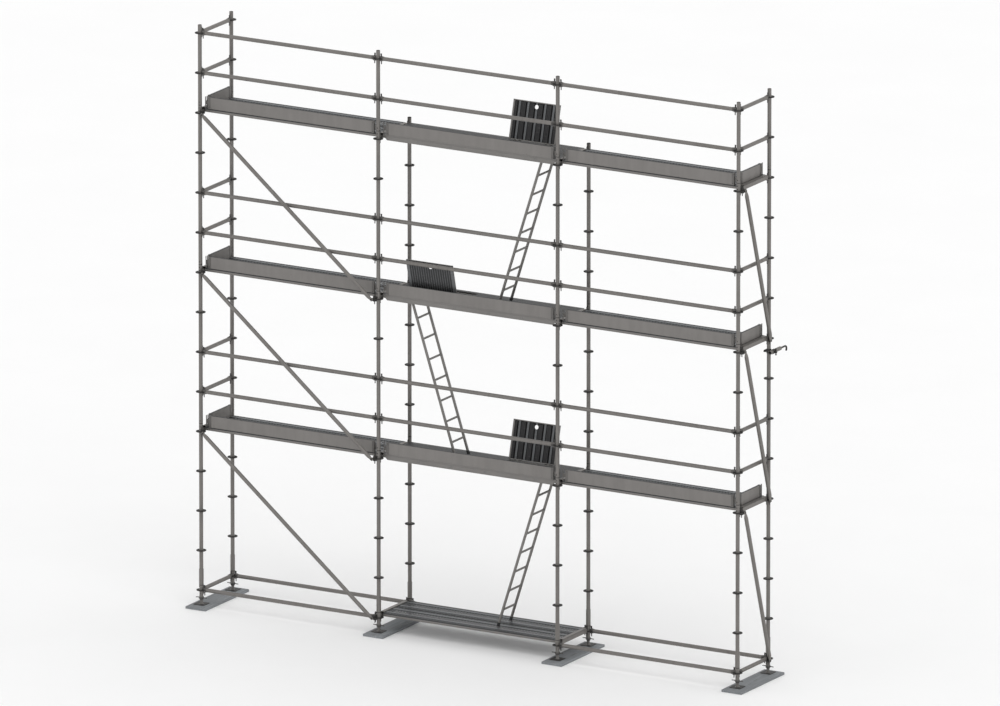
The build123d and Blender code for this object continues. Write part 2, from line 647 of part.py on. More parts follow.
with BuildPart() as hinge_pins:
    for x in HINGE_X:
        with Locations(Location((x, HINGE_Y, HINGE_Z), (0, 90, 0))):
            Cylinder(HINGE_PIN_R, 3 * KNUCKLE_L + 2 * (KNUCKLE_GAP + HINGE_PIN_OUT))

HINGE_LINE = Axis((0, HINGE_Y, HINGE_Z), (1, 0, 0))
open_leaf = leaf.part.rotate(HINGE_LINE, -HATCH_OPEN)
for i in DECK_LEVELS:
    with BuildPart() as hatch:
        with Locations(deck_places(i)):
            add(open_leaf)
    finish(hatch, f"hatch_{i}")
finish(copies(hinge_mount, [deck_places(i) for i in DECK_LEVELS]), "hatch_hinge_knuckles")
finish(copies(hinge_pins, [deck_places(i) for i in DECK_LEVELS]), "hatch_hinge_pins")

# ---- ladders: hung from a pin under the deck above, foot on the deck below
FALL = LIFT - LADDER_DROP - DECK_TOP - FOOT_CLEAR
LEAN = math.radians(LADDER_LEAN)
LADDER_L = (FALL - STILE_OD / 2 * math.sin(LEAN)) / math.cos(LEAN)
RUNGS = 1 + int((LADDER_L - FIRST_RUNG) / RUNG_STEP - TOP_RUNG_GAP)
STILE_Y = [WIDTH / 2 + side * STILE_GAUGE / 2 for side in (-1, 1)]
with BuildPart() as ladder:
    with BuildSketch(Plane.XY.offset(-LADDER_L)):
        with Locations(*[(0, y) for y in STILE_Y]):
            Circle(STILE_OD / 2)
            Circle(STILE_OD / 2 - STILE_WALL, mode=Mode.SUBTRACT)
    extrude(amount=LADDER_L + LADDER_HEAD)
    with BuildSketch(Plane.XZ.offset(-STILE_Y[1] - STILE_OD)):
        Circle(LADDER_PIN_R + HINGE_FIT)
    extrude(amount=STILE_GAUGE + 2 * STILE_OD, mode=Mode.SUBTRACT)
    with BuildSketch(Plane.XZ.offset(-STILE_Y[0] - STILE_OD / 2 - WELD_GAP)):
        with Locations(*[(0, FIRST_RUNG - LADDER_L + i * RUNG_STEP) for i in range(RUNGS)]):
            Circle(RUNG_OD / 2)
            Circle(RUNG_OD / 2 - STILE_WALL, mode=Mode.SUBTRACT)
    extrude(amount=-(STILE_GAUGE - STILE_OD - 2 * WELD_GAP))

leaning = ladder.part.rotate(Axis.Y, LADDER_LEAN)
LADDER_PLACE = Location((LADDER_X, 0, -LADDER_DROP))
for i in DECK_LEVELS:
    with BuildPart() as hung:
        with Locations(deck_places(i) * LADDER_PLACE):
            add(leaning)
    finish(hung, f"ladder_{i}")

with BuildPart() as ladder_lugs:
    for side, y in zip((-1, 1), STILE_Y):
        with BuildSketch(Plane.XZ.offset(-y - side * (STILE_OD / 2 + LUG_GAP + LUG_T / 2))):
            with BuildLine():
                Polyline(
                    (-LADDER_HEAD, LADDER_DROP + CROSS_BOTTOM), (-LADDER_HEAD, -LADDER_HEAD),
                    (LADDER_HEAD, -LADDER_HEAD), (LADDER_HEAD, LADDER_DROP + CROSS_BOTTOM), close=True,
                )
            make_face()
            Circle(LADDER_PIN_R + HINGE_FIT, mode=Mode.SUBTRACT)
        extrude(amount=LUG_T / 2, both=True)
with BuildPart() as ladder_pins:
    for y in STILE_Y:
        with Locations(Location((0, y, 0), (90, 0, 0))):
            Cylinder(LADDER_PIN_R, STILE_OD + 2 * (LUG_GAP + LUG_T) + PIN_OVERHANG)
finish(copies(ladder_lugs, [deck_places(i) * LADDER_PLACE for i in DECK_LEVELS]), "ladder_lugs")
finish(copies(ladder_pins, [deck_places(i) * LADDER_PLACE for i in DECK_LEVELS]), "ladder_pins")

# ---- toe boards with capped ends and a locating pin at each end
TOE_BOTTOM = DECK_TOP
TOE_RUNS = [(x, z) for z in LEVELS[1:] for x in STANDARD_X[:-1]]
TOE_ENDS = [(x, z) for z in LEVELS[1:] for x in (STANDARD_X[0], STANDARD_X[-1])]


with BuildPart() as toe_board:
    bar((TOE_END, BAY - TOE_END), (TOE_FACE, TOE_FACE + TOE_T), (TOE_BOTTOM, TOE_BOTTOM + TOE_H))
finish(copies(toe_board, [at(x, FRONT, z) for x, z in TOE_RUNS]), "toe_boards")

with BuildPart() as end_toe_board:
    bar((END_TOE_END, WIDTH - END_TOE_END), (END_TOE_FACE, END_TOE_FACE + TOE_T),
        (TOE_BOTTOM, TOE_BOTTOM + TOE_H))
end_boards = [at(x, BACK, z, -90) if x < 0 else at(x, FRONT, z, 90) for x, z in TOE_ENDS]
finish(copies(end_toe_board, end_boards), "end_toe_boards")

TOE_MID = TOE_BOTTOM + TOE_H / 2
with BuildPart() as toe_fitting:
    for y in (-TOE_CAP_T - WELD_GAP, TOE_T + WELD_GAP):
        bar((0, TOE_CAP), (y, y + TOE_CAP_T), (TOE_BOTTOM, TOE_BOTTOM + TOE_H))
    wrap = TOE_CAP_T + WELD_GAP
    bar((-TOE_CAP_T, 0), (-wrap, TOE_T + wrap), (TOE_BOTTOM, TOE_BOTTOM + TOE_H))
    bar((-TOE_REACH, -TOE_CAP_T), (TOE_T / 2 - TOE_CAP_T, TOE_T / 2 + TOE_CAP_T),
        (TOE_MID - TOE_TAB_H / 2, TOE_MID + TOE_TAB_H / 2))
    with Locations((-TOE_REACH, TOE_T / 2, TOE_MID)):
        Cylinder(TOE_PIN_R, TOE_PIN_H)
toe_fitting_mirrored = toe_fitting.part.mirror(Plane.YZ)
with BuildPart() as toe_fittings:
    with Locations(*[at(x + TOE_END, FRONT + TOE_FACE, z) for x, z in TOE_RUNS]):
        add(toe_fitting.part)
    with Locations(*[at(x + BAY - TOE_END, FRONT + TOE_FACE, z) for x, z in TOE_RUNS]):
        add(toe_fitting_mirrored)
    with Locations(*[place * Location((END_TOE_END, END_TOE_FACE, 0)) for place in end_boards]):
        add(toe_fitting.part)
    with Locations(*[place * Location((WIDTH - END_TOE_END, END_TOE_FACE, 0)) for place in end_boards]):
        add(toe_fitting_mirrored)
finish(toe_fittings, "toe_board_fittings")

# ---- braces: tubes with flattened tongues, riveted to heads in the large rosette holes
def brace_angle(span):
    return math.atan2(LIFT, span - 2 * BRACE_PIVOT)


def brace(span):
    """A brace for a bay of this length, its upper rosette at the origin, falling towards +X."""
    between = math.hypot(span - 2 * BRACE_PIVOT, LIFT)
    with BuildPart() as made:
        with BuildSketch(Plane.YZ.offset(BRACE_START)):
            Circle(TUBE_R)
            Circle(TUBE_IR, mode=Mode.SUBTRACT)
        extrude(amount=between - 2 * BRACE_START)
        for x in (0, between):
            inner = BRACE_START + TONGUE_T if x == 0 else between - BRACE_START - TONGUE_T
            outer = x - TONGUE_W / 2 if x == 0 else x + TONGUE_W / 2
            bar(sorted((inner, outer)), (-TONGUE_T / 2, TONGUE_T / 2), (-TONGUE_W / 2, TONGUE_W / 2))
        with Locations(Location((0, 0, 0), (90, 0, 0)), Location((between, 0, 0), (90, 0, 0))):
            Cylinder(RIVET_R + LUG_CLEAR, 2 * TUBE_OD, mode=Mode.SUBTRACT)
    tilted = made.part.rotate(Axis.Y, math.degrees(brace_angle(span)))
    return tilted.moved(Location((BRACE_PIVOT, -BRACE_OFFSET, -BRACE_DROP)))


BRACE_LEVELS = LEVELS[1:]
with BuildPart() as bay_braces:
    with Locations(*[at(STANDARD_X[0], FRONT, z) for z in BRACE_LEVELS]):
        add(brace(BAY))
finish(bay_braces, "bay_braces")
with BuildPart() as end_braces:
    with Locations(*[at(STANDARD_X[-1], FRONT, z, 90) for z in BRACE_LEVELS]):
        add(brace(WIDTH))
finish(end_braces, "end_braces")

LUG_FACE = -BRACE_OFFSET + TONGUE_T / 2 + LUG_CLEAR
LUG_ROOT = BRACE_NOSE * math.sqrt(2) + LUG_FACE + LUG_T - LUG_LAP     # head turned by 45 degrees
with BuildPart() as brace_nose:
    with BuildSketch(Plane.XZ):
        with BuildLine():
            jaw_profile(BRACE_NOSE, HEAD_LIP, -HEAD_LIP)
        make_face()
    extrude(amount=TUBE_R, both=True)
    with BuildSketch(Plane.XY.offset(-2 * HEAD_LIP)):
        with BuildLine():
            Polyline(
                (HEAD_FACE, -NOSE_HALF), (NOSE_END, -BRACE_HEAD_HALF), (BRACE_NOSE, -BRACE_HEAD_HALF),
                (BRACE_NOSE, BRACE_HEAD_HALF), (NOSE_END, BRACE_HEAD_HALF), (HEAD_FACE, NOSE_HALF),
                close=True,
            )
        make_face()
    extrude(amount=4 * HEAD_LIP, mode=Mode.INTERSECT)
    with BuildSketch(Plane.XY.offset(-2 * HEAD_LIP)):
        wedge_slot()
    extrude(amount=4 * HEAD_LIP, mode=Mode.SUBTRACT)

nose = brace_nose.part.rotate(Axis.Z, -45)
with BuildPart() as brace_head:
    add(nose)
    bar((LUG_ROOT, BRACE_PIVOT + TONGUE_W / 2), (LUG_FACE, LUG_FACE + LUG_T),
        (-BRACE_DROP - TONGUE_W / 2, -BRACE_DROP + TONGUE_W / 2))
    with Locations(Location((BRACE_PIVOT, LUG_FACE, -BRACE_DROP), (90, 0, 0))):
        Cylinder(RIVET_R + LUG_CLEAR, 4 * LUG_T, mode=Mode.SUBTRACT)
head_mirrored = brace_head.part.mirror(Plane.YZ)

UPPER = [at(STANDARD_X[0], FRONT, z) for z in BRACE_LEVELS]
UPPER += [at(STANDARD_X[-1], FRONT, z, 90) for z in BRACE_LEVELS]
LOWER = [at(STANDARD_X[1], FRONT, z - LIFT) for z in BRACE_LEVELS]
LOWER += [at(STANDARD_X[-1], BACK, z - LIFT, 90) for z in BRACE_LEVELS]
with BuildPart() as brace_heads:
    with Locations(*UPPER):
        add(brace_head.part)
    with Locations(*LOWER):
        add(head_mirrored)
finish(brace_heads, "brace_heads")
brace_slots = [p * Location((0, 0, 0), (0, 0, -45)) for p in UPPER]
brace_slots += [p * Location((0, 0, 0), (0, 0, -135)) for p in LOWER]
finish(copies(wedge, brace_slots), "brace_wedges")

with BuildPart() as brace_rivet:
    with Locations(Location((BRACE_PIVOT, 0, -BRACE_DROP), (90, 0, 0))):
        with Locations((0, 0, BRACE_OFFSET - LUG_T / 2)):
            Cylinder(RIVET_R, TONGUE_T + LUG_T + RIVET_GRIP)
        with Locations((0, 0, -LUG_FACE - LUG_T - RIVET_HEAD_T / 2),
                       (0, 0, BRACE_OFFSET + (TONGUE_T + RIVET_HEAD_T) / 2)):
            Cylinder(RIVET_HEAD_R, RIVET_HEAD_T)
rivet_mirrored = brace_rivet.part.mirror(Plane.YZ)
with BuildPart() as brace_rivets:
    with Locations(*UPPER):
        add(brace_rivet.part)
    with Locations(*LOWER):
        add(rivet_mirrored)
finish(brace_rivets, "brace_rivets")

# ---- wall tie: a tube clamped to the last back standard, with a hook for the wall's ring bolt
TIE_Z = LEVELS[TIE_LEVEL] - TIE_DROP
TIE_AXIS_X = STANDARD_X[-1] + TIE_X
TIE_END = BACK + TIE_TUBE_END
with BuildPart() as tie_tube:
    with BuildSketch(Plane.XZ.offset(-TIE_END)):
        with Locations((TIE_AXIS_X, TIE_Z)):
            Circle(TUBE_R)
            Circle(TUBE_IR, mode=Mode.SUBTRACT)
    extrude(amount=TIE_TUBE_END + TIE_FRONT)
finish(tie_tube, "tie_tube")

HOOK_Y = BACK + TIE_REACH - TIE_HOOK_R - TIE_ROD_R
with BuildPart() as tie_hook:
    with BuildSketch(Plane.XZ.offset(-TIE_END)):
        with Locations((TIE_AXIS_X, TIE_Z)):
            Circle(TUBE_R)
    extrude(amount=-COUPLER_T)
    hook_start = (TIE_AXIS_X, HOOK_Y, TIE_Z)
    bend = math.radians(TIE_HOOK_TURN)
    hook_tip = (TIE_AXIS_X, HOOK_Y + TIE_HOOK_R * math.sin(bend), TIE_Z - TIE_HOOK_R * (1 - math.cos(bend)))
    with BuildLine() as hook_path:
        Line((TIE_AXIS_X, TIE_END + COUPLER_T / 2, TIE_Z), hook_start)
        TangentArc(hook_start, hook_tip, tangent=(0, 1, 0))
    with BuildSketch(Plane.XZ.offset(-TIE_END - COUPLER_T / 2)):
        with Locations((TIE_AXIS_X, TIE_Z)):
            Circle(TIE_ROD_R)
    sweep(path=hook_path.line)
finish(tie_hook, "tie_hook")

with BuildPart() as tie_coupler:
    with Locations((STANDARD_X[-1], BACK, TIE_Z)):
        Cylinder(RING_R, COUPLER_H)
    with Locations(Location((TIE_AXIS_X, BACK, TIE_Z), (90, 0, 0))):
        Cylinder(RING_R, COUPLER_H)
    bar((STANDARD_X[-1] - RING_R - EAR, STANDARD_X[-1] - TUBE_R), (BACK - RING_R, BACK + RING_R),
        (TIE_Z - COUPLER_H / 4, TIE_Z + COUPLER_H / 4))
    bar((TIE_AXIS_X + TUBE_R, TIE_AXIS_X + RING_R + EAR), (BACK - COUPLER_H / 4, BACK + COUPLER_H / 4),
        (TIE_Z - RING_R / 2, TIE_Z + RING_R / 2))
    with Locations((STANDARD_X[-1], BACK, TIE_Z)):
        Cylinder(TUBE_R + COUPLER_CLEAR, 2 * COUPLER_H, mode=Mode.SUBTRACT)
    with Locations(Location((TIE_AXIS_X, BACK, TIE_Z), (90, 0, 0))):
        Cylinder(TUBE_R + COUPLER_CLEAR, 2 * COUPLER_H, mode=Mode.SUBTRACT)
    with Locations(Location((STANDARD_X[-1] - RING_R - EAR / 2, BACK, TIE_Z), (90, 0, 0)),
                   Location((TIE_AXIS_X + RING_R + EAR / 2, BACK, TIE_Z))):
        Cylinder(BOLT_R + LUG_CLEAR, 4 * RING_R, mode=Mode.SUBTRACT)
finish(tie_coupler, "tie_coupler")

BOLT_L = 2 * RING_R + 4 * BOLT_R
with BuildPart() as tie_bolts:
    for place in (Location((STANDARD_X[-1] - RING_R - EAR / 2, BACK, TIE_Z), (90, 0, 0)),
                  Location((TIE_AXIS_X + RING_R + EAR / 2, BACK, TIE_Z))):
        with Locations(place):
            Cylinder(BOLT_R, BOLT_L)
finish(tie_bolts, "tie_coupler_bolts")

# ---- feet: two screw jacks on one sole board for each pair of standards, a wing nut on each spindle
PLATE_BOTTOM = Z0 + PLATE_TOP - PLATE_T
for i, x in enumerate(STANDARD_X, start=1):
    with BuildPart() as board:
        bar((x - BOARD_LEFT, x + BOARD_RIGHT), (FRONT - BOARD_FRONT, BACK + BOARD_BACK), (0, BOARD_T))
    finish(board, f"sole_board_{i}")
    with BuildPart() as jack:
        for y in (FRONT, BACK):
            plate_y = (y - PLATE / 2, y + PLATE / 2)
            bar((x - PLATE / 2, x + PLATE / 2), plate_y, (PLATE_BOTTOM, PLATE_BOTTOM + PLATE_T))
        with BuildSketch(Plane.XY.offset(PLATE_BOTTOM + PLATE_T)):
            with Locations((x, FRONT), (x, BACK)):
                Circle(SPINDLE_OD / 2)
        extrude(amount=SPINDLE_TOP - PLATE_TOP)
        with BuildSketch(Plane.XY.offset(PLATE_BOTTOM)):
            with Locations((x, FRONT), (x, BACK)):
                Circle(SPINDLE_OD / 2 - SPINDLE_WALL)
        extrude(amount=SPINDLE_TOP - PLATE_TOP + PLATE_T, mode=Mode.SUBTRACT)
    finish(jack, f"base_jacks_{i}")

NUT_TOP = Z0 - COLLAR_DOWN - NUT_GAP
with BuildPart() as wing_nut:
    with Locations((0, 0, NUT_TOP - NUT_H / 2)):
        Cylinder(NUT_OD / 2, NUT_H)
    handle_top = NUT_TOP - HANDLE_DROP
    bar((-HANDLE_REACH, HANDLE_REACH), (-HANDLE_T / 2, HANDLE_T / 2), (handle_top - HANDLE_T, handle_top))
    Cylinder(SPINDLE_OD / 2 + THREAD_FIT, 4 * Z0, mode=Mode.SUBTRACT)
for i, (x, y) in enumerate(GRID, start=1):
    finish(copies(wing_nut, [at(x, y, 0)]), f"wing_nut_{i}")
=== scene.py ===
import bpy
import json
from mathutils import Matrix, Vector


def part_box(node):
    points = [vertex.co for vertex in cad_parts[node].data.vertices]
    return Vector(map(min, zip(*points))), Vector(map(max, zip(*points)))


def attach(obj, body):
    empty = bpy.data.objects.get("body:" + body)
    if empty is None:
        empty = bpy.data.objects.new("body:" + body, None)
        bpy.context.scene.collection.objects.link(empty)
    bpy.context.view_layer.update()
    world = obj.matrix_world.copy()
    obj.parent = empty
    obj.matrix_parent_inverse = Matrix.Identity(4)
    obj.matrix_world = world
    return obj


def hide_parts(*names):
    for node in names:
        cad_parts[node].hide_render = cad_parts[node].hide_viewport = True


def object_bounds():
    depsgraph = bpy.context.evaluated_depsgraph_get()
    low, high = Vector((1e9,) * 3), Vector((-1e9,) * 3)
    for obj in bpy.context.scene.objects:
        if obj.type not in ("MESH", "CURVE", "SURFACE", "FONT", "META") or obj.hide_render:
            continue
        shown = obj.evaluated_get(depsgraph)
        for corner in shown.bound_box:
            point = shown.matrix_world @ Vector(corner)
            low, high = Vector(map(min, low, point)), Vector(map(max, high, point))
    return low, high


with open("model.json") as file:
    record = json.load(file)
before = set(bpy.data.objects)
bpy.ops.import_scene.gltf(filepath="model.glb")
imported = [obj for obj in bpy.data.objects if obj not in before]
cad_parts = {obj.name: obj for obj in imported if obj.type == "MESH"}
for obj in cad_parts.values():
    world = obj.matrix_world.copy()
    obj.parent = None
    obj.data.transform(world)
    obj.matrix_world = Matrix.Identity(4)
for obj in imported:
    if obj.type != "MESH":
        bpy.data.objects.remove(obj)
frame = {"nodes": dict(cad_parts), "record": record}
cad_box = [list(corner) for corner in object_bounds()]

import json
import math

import bpy
import numpy as np
from mathutils import Matrix, Vector

# ---- places, read from the frame
def box(node):
    low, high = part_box(node)
    return Vector(low), Vector(high)


BAYS, LIFTS, LIFT_PITCHES = 3, 3, 4     # a lift is four rosette pitches
tube_low, tube_high = box("tie_tube")
TUBE_R = (tube_high.x - tube_low.x) / 2
lift_low, lift_high = box("standards_lift_2")
X = [lift_low.x + TUBE_R + i * (lift_high.x - lift_low.x - 2 * TUBE_R) / BAYS for i in range(BAYS + 1)]
FRONT, BACK = lift_low.y + TUBE_R, lift_high.y - TUBE_R
BAY, WIDTH, LIFT = X[1] - X[0], BACK - FRONT, lift_high.z - lift_low.z
ROSETTE_T = 0.009
PITCH = LIFT / LIFT_PITCHES
LEVELS = [box("rosettes")[0].z + ROSETTE_T / 2 + i * LIFT for i in range(LIFTS + 1)]
LEFT, RIGHT, MIDDLE = X[0], X[-1], 1
GRID = [(x, y) for x in X for y in (FRONT, BACK)]
TALL = [p for p in GRID if p[1] == FRONT or p[0] in (LEFT, RIGHT)]
RAIL_HEIGHTS = [z + k * PITCH for z in LEVELS[1:] for k in (1, 2)]
DECK_LOW, DECK_TOP = 0.0055, 0.0475     # underside and top of the decks above their level
HEAD_RISE = 0.004                       # ledger axis above its rosette


def turned(axis, degrees, place=(0, 0, 0)):
    return Matrix.Translation(place) @ Matrix.Rotation(math.radians(degrees), 4, axis)


def at(x, y, z, turn=0.0):
    return turned("Z", turn, (x, y, z))


def both_ends_x(bay, y, z):
    return [at(X[bay], y, z), at(X[bay + 1], y, z, 180)]


def both_ends_y(x, z):
    return [at(x, FRONT, z, 90), at(x, BACK, z, -90)]


def deck_place(level):
    """Where an access deck lies: every second one is turned end for end."""
    if level % 2:
        return at(X[MIDDLE], FRONT, LEVELS[level])
    return at(X[MIDDLE + 1], BACK, LEVELS[level], 180)


DECK_PLACES = [deck_place(level) for level in range(1, LIFTS + 1)]


# ---- mesh kit
def shape(points, faces, finish=0):
    return {
        "points": np.array(points, float).reshape(-1, 3),
        "counts": np.array([len(f) for f in faces], int),
        "corners": np.array([i for f in faces for i in f], int),
        "finish": np.full(len(faces), finish, int),
    }


def joined(shapes):
    start, corners = 0, []
    for s in shapes:
        corners.append(s["corners"] + start)
        start += len(s["points"])
    whole = {k: np.concatenate([s[k] for s in shapes]) for k in ("points", "counts", "finish")}
    whole["corners"] = np.concatenate(corners)
    return whole


def moved(one, place):
    m = np.array(place)
    return {**one, "points": one["points"] @ m[:3, :3].T + m[:3, 3]}


def copies(one, places):
    return joined([moved(one, place) for place in places])


def finished(one, finish):
    return {**one, "finish": np.full(len(one["counts"]), finish, int)}


def face_starts(one):
    return np.concatenate(([0], np.cumsum(one["counts"])[:-1]))


def tinted(one, chosen, finish):
    """Gives another finish to the faces whose centres and normals are chosen."""
    starts = face_starts(one)
    loops = one["points"][one["corners"]]
    centres = np.add.reduceat(loops, starts) / one["counts"][:, None]
    normals = np.cross(loops[starts + 1] - loops[starts], loops[starts + 2] - loops[starts + 1])
    normals /= np.maximum(np.linalg.norm(normals, axis=1), 1e-12)[:, None]
    picked = np.array([chosen(Vector(c), Vector(n)) for c, n in zip(centres, normals)], bool)
    return {**one, "finish": np.where(picked, finish, one["finish"])}


def skin(sections, ring=False, finish=0):
    """A surface through closed sections of equal point count; a ring has its last joined to its first."""
    n, k = len(sections[0]), len(sections)
    faces = []
    for s in range(k if ring else k - 1):
        a, b = s * n, (s + 1) % k * n
        faces += [(a + i, a + (i + 1) % n, b + (i + 1) % n, b + i) for i in range(n)]
    if not ring:
        faces += [tuple(range(n - 1, -1, -1)), tuple(range((k - 1) * n, k * n))]
    return shape([p for s in sections for p in s], faces, finish)


def circle(radius, steps):
    turns = [2 * math.pi * i / steps for i in range(steps)]
    return [(radius * math.cos(a), radius * math.sin(a)) for a in turns]


def rounded_rect(width, depth, radius):
    """A rectangle round the origin, anticlockwise, with arcs at its corners."""
    loop, steps = [], 3
    for quarter, (sx, sy) in enumerate(((1, 1), (-1, 1), (-1, -1), (1, -1))):
        cx, cy = sx * (width / 2 - radius), sy * (depth / 2 - radius)
        for i in range(steps + 1):
            a = math.pi / 2 * (quarter + i / steps)
            loop.append((cx + radius * math.cos(a), cy + radius * math.sin(a)))
    return loop


def lathe(profile, steps=24, finish=0):
    """A closed (radius, height) profile, clockwise, turned about Z."""
    return skin([[(r * x, r * y, z) for r, z in profile] for x, y in circle(1, steps)],
                ring=True, finish=finish)


def stacked(rings, steps, finish=0):
    """A closed skin through level (radius, height) rings, from the bottom up."""
    return skin([[(x, y, z) for x, y in circle(r, steps)] for r, z in rings], finish=finish)


def rod(radius, low, high, steps=16, edge=0.0008):
    """An upright round bar with eased ends."""
    eased = radius - edge
    return stacked(((eased, low), (radius, low + edge), (radius, high - edge), (eased, high)), steps)


def pipe(radius, wall, low, high, steps=24, finish=0):
    inner = radius - wall
    return lathe([(inner, low), (inner, high), (radius, high), (radius, low)][::-1], steps, finish)


def bar(xs, ys, zs, edge=0.0015, corner=0.002, finish=0):
    """A straight member between given faces, its arrises eased all round."""
    cx, cy = (xs[0] + xs[1]) / 2, (ys[0] + ys[1]) / 2
    w, d = xs[1] - xs[0], ys[1] - ys[0]
    rings = []
    for inset, z in ((edge, zs[0]), (0, zs[0] + edge), (0, zs[1] - edge), (edge, zs[1])):
        loop = rounded_rect(w - 2 * inset, d - 2 * inset, max(corner - inset, corner / 4))
        rings.append([(cx + x, cy + y, z) for x, y in loop])
    return skin(rings, finish=finish)


def prism_x(outline, x0, x1):
    """A closed (y, z) outline run along X."""
    return skin([[(x, y, z) for y, z in outline] for x in (x0, x1)])


def prism_y(outline, y0, y1):
    """A closed (x, z) outline run along Y."""
    return skin([[(x, y, z) for x, z in outline] for y in (y1, y0)])


def weld_bead(radius, height, size=0.0032, steps=36):
    """A fillet weld round a tube, with the ripples of its runs."""
    rings, ripple = [], 0.18
    for i in range(steps):
        a = 2 * math.pi * i / steps
        fat = size * (1 + ripple * math.cos(steps / 3 * a))
        profile = ((radius - size / 2, height - fat), (radius - size / 2, height + fat),
                   (radius + fat * 0.5, height + fat * 0.7), (radius + fat, height),
                   (radius + fat * 0.5, height - fat * 0.7))
        rings.append([(r * math.cos(a), r * math.sin(a), z) for r, z in profile[::-1]])
    return skin(rings, ring=True)


def as_mesh(one, name):
    mesh = bpy.data.meshes.new(name)
    mesh.vertices.add(len(one["points"]))
    mesh.vertices.foreach_set("co", one["points"].ravel())
    mesh.loops.add(len(one["corners"]))
    mesh.loops.foreach_set("vertex_index", one["corners"].astype(np.int32))
    mesh.polygons.add(len(one["counts"]))
    mesh.polygons.foreach_set("loop_start", face_starts(one).astype(np.int32))
    mesh.polygons.foreach_set("material_index", one["finish"].astype(np.int32))
    mesh.update(calc_edges=True)
    mesh.validate()
    return mesh


def as_shape(obj):
    """The shape of an object with its modifiers applied; the object is thrown away."""
    evaluated = obj.evaluated_get(bpy.context.evaluated_depsgraph_get())
    made = evaluated.to_mesh()
    one = shape([v.co for v in made.vertices], [tuple(p.vertices) for p in made.polygons])
    one["finish"] = np.array([p.material_index for p in made.polygons], int)
    evaluated.to_mesh_clear()
    bpy.data.objects.remove(obj, do_unlink=True)
    return one


def as_object(one, name):
    obj = bpy.data.objects.new(name, as_mesh(one, name))
    bpy.context.scene.collection.objects.link(obj)
    return obj


def carved(one, cutters=(), bevel=0.0, segments=2):
    """A shape with other shapes cut out of it and its sharp edges rounded."""
    body, tools = as_object(one, "body"), [as_object(c, "cutter") for c in cutters]
    for tool in tools:
        cut = body.modifiers.new("cut", "BOOLEAN")
        cut.operation, cut.object, cut.solver = "DIFFERENCE", tool, "EXACT"
    if bevel:
        ease = body.modifiers.new("ease", "BEVEL")
        ease.width, ease.segments, ease.limit_method = bevel, segments, "ANGLE"
        ease.angle_limit = math.radians(35)
    result = as_shape(body)
    for tool in tools:
        bpy.data.objects.remove(tool, do_unlink=True)
    return result


def piece(name, one, materials, body="frame", replaces=(), sharp=38):
    obj = as_object(one, name)
    obj.data.polygons.foreach_set("use_smooth", np.ones(len(obj.data.polygons), bool))
    obj.data.set_sharp_from_angle(angle=math.radians(sharp))
    for material in materials:
        obj.data.materials.append(material)
    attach(obj, body)
    if replaces:
        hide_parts(*replaces)
    return obj


# ---- materials
class Nodes:
    """A small helper for wiring one material."""

    def __init__(self, name):
        self.material = bpy.data.materials.new(name)
        self.material.use_nodes = True
        self.tree = self.material.node_tree
        self.shader = self.tree.nodes["Principled BSDF"]
        self.coords = self.tree.nodes.new("ShaderNodeTexCoord").outputs["Object"]

    def node(self, kind, **inputs):
        made = self.tree.nodes.new(kind)
        for key, value in inputs.items():
            self.feed(made.inputs[key.replace("_", " ")], value)
        return made

    def feed(self, socket, value):
        if isinstance(value, bpy.types.NodeSocket):
            self.tree.links.new(value, socket)
        else:
            socket.default_value = value

    def scaled(self, scale):
        return self.node("ShaderNodeMapping", Vector=self.coords, Scale=scale).outputs["Vector"]

    def noise(self, scale, stretch=(1, 1, 1), detail=4.0, roughness=0.55, distortion=0.0):
        return self.node("ShaderNodeTexNoise", Vector=self.scaled(stretch), Scale=scale, Detail=detail,
                         Roughness=roughness, Distortion=distortion).outputs["Fac"]

    def cells(self, scale):
        return self.node("ShaderNodeTexVoronoi", Vector=self.coords, Scale=scale).outputs["Color"]

    def ramp(self, value, *stops):
        made = self.node("ShaderNodeValToRGB", Fac=value)
        points = made.color_ramp.elements
        while len(points) < len(stops):
            points.new(0.5)
        for point, (place, shade) in zip(points, stops):
            point.position = place
            point.color = (*shade, 1) if isinstance(shade, tuple) else (shade, shade, shade, 1)
        return made.outputs["Color"]

    def grey(self, colour):
        return self.node("ShaderNodeRGBToBW", Color=colour).outputs["Val"]

    def mix(self, share, first, second, blend="MIX"):
        made = self.tree.nodes.new("ShaderNodeMix")
        made.data_type, made.blend_type = "RGBA", blend
        self.feed(made.inputs["Factor"], share)
        self.feed(made.inputs["A"], first)
        self.feed(made.inputs["B"], second)
        return next(o for o in made.outputs if o.type == "RGBA")

    def span(self, value, low, high):
        """A 0 to 1 value spread over another range."""
        made = self.node("ShaderNodeMapRange", Value=value)
        made.inputs["To Min"].default_value = low
        made.inputs["To Max"].default_value = high
        return made.outputs["Result"]

    def seam(self, height, half):
        """1 within half of a height, 0 elsewhere."""
        split = self.node("ShaderNodeSeparateXYZ", Vector=self.coords)
        near = self.tree.nodes.new("ShaderNodeMath")
        near.operation = "COMPARE"
        for socket, value in zip(near.inputs, (split.outputs["Z"], height, half)):
            self.feed(socket, value)
        return near.outputs["Value"]

    def bump(self, height, strength, distance, below=None):
        made = self.node("ShaderNodeBump", Height=height, Strength=strength, Distance=distance)
        if below is not None:
            self.feed(made.inputs["Normal"], below)
        return made.outputs["Normal"]

    def finish(self, **inputs):
        for key, value in inputs.items():
            self.feed(self.shader.inputs[key.replace("_", " ")], value)
        return self.material


def rgba(colour, gain=1.0):
    return (*(c * gain for c in colour), 1.0)


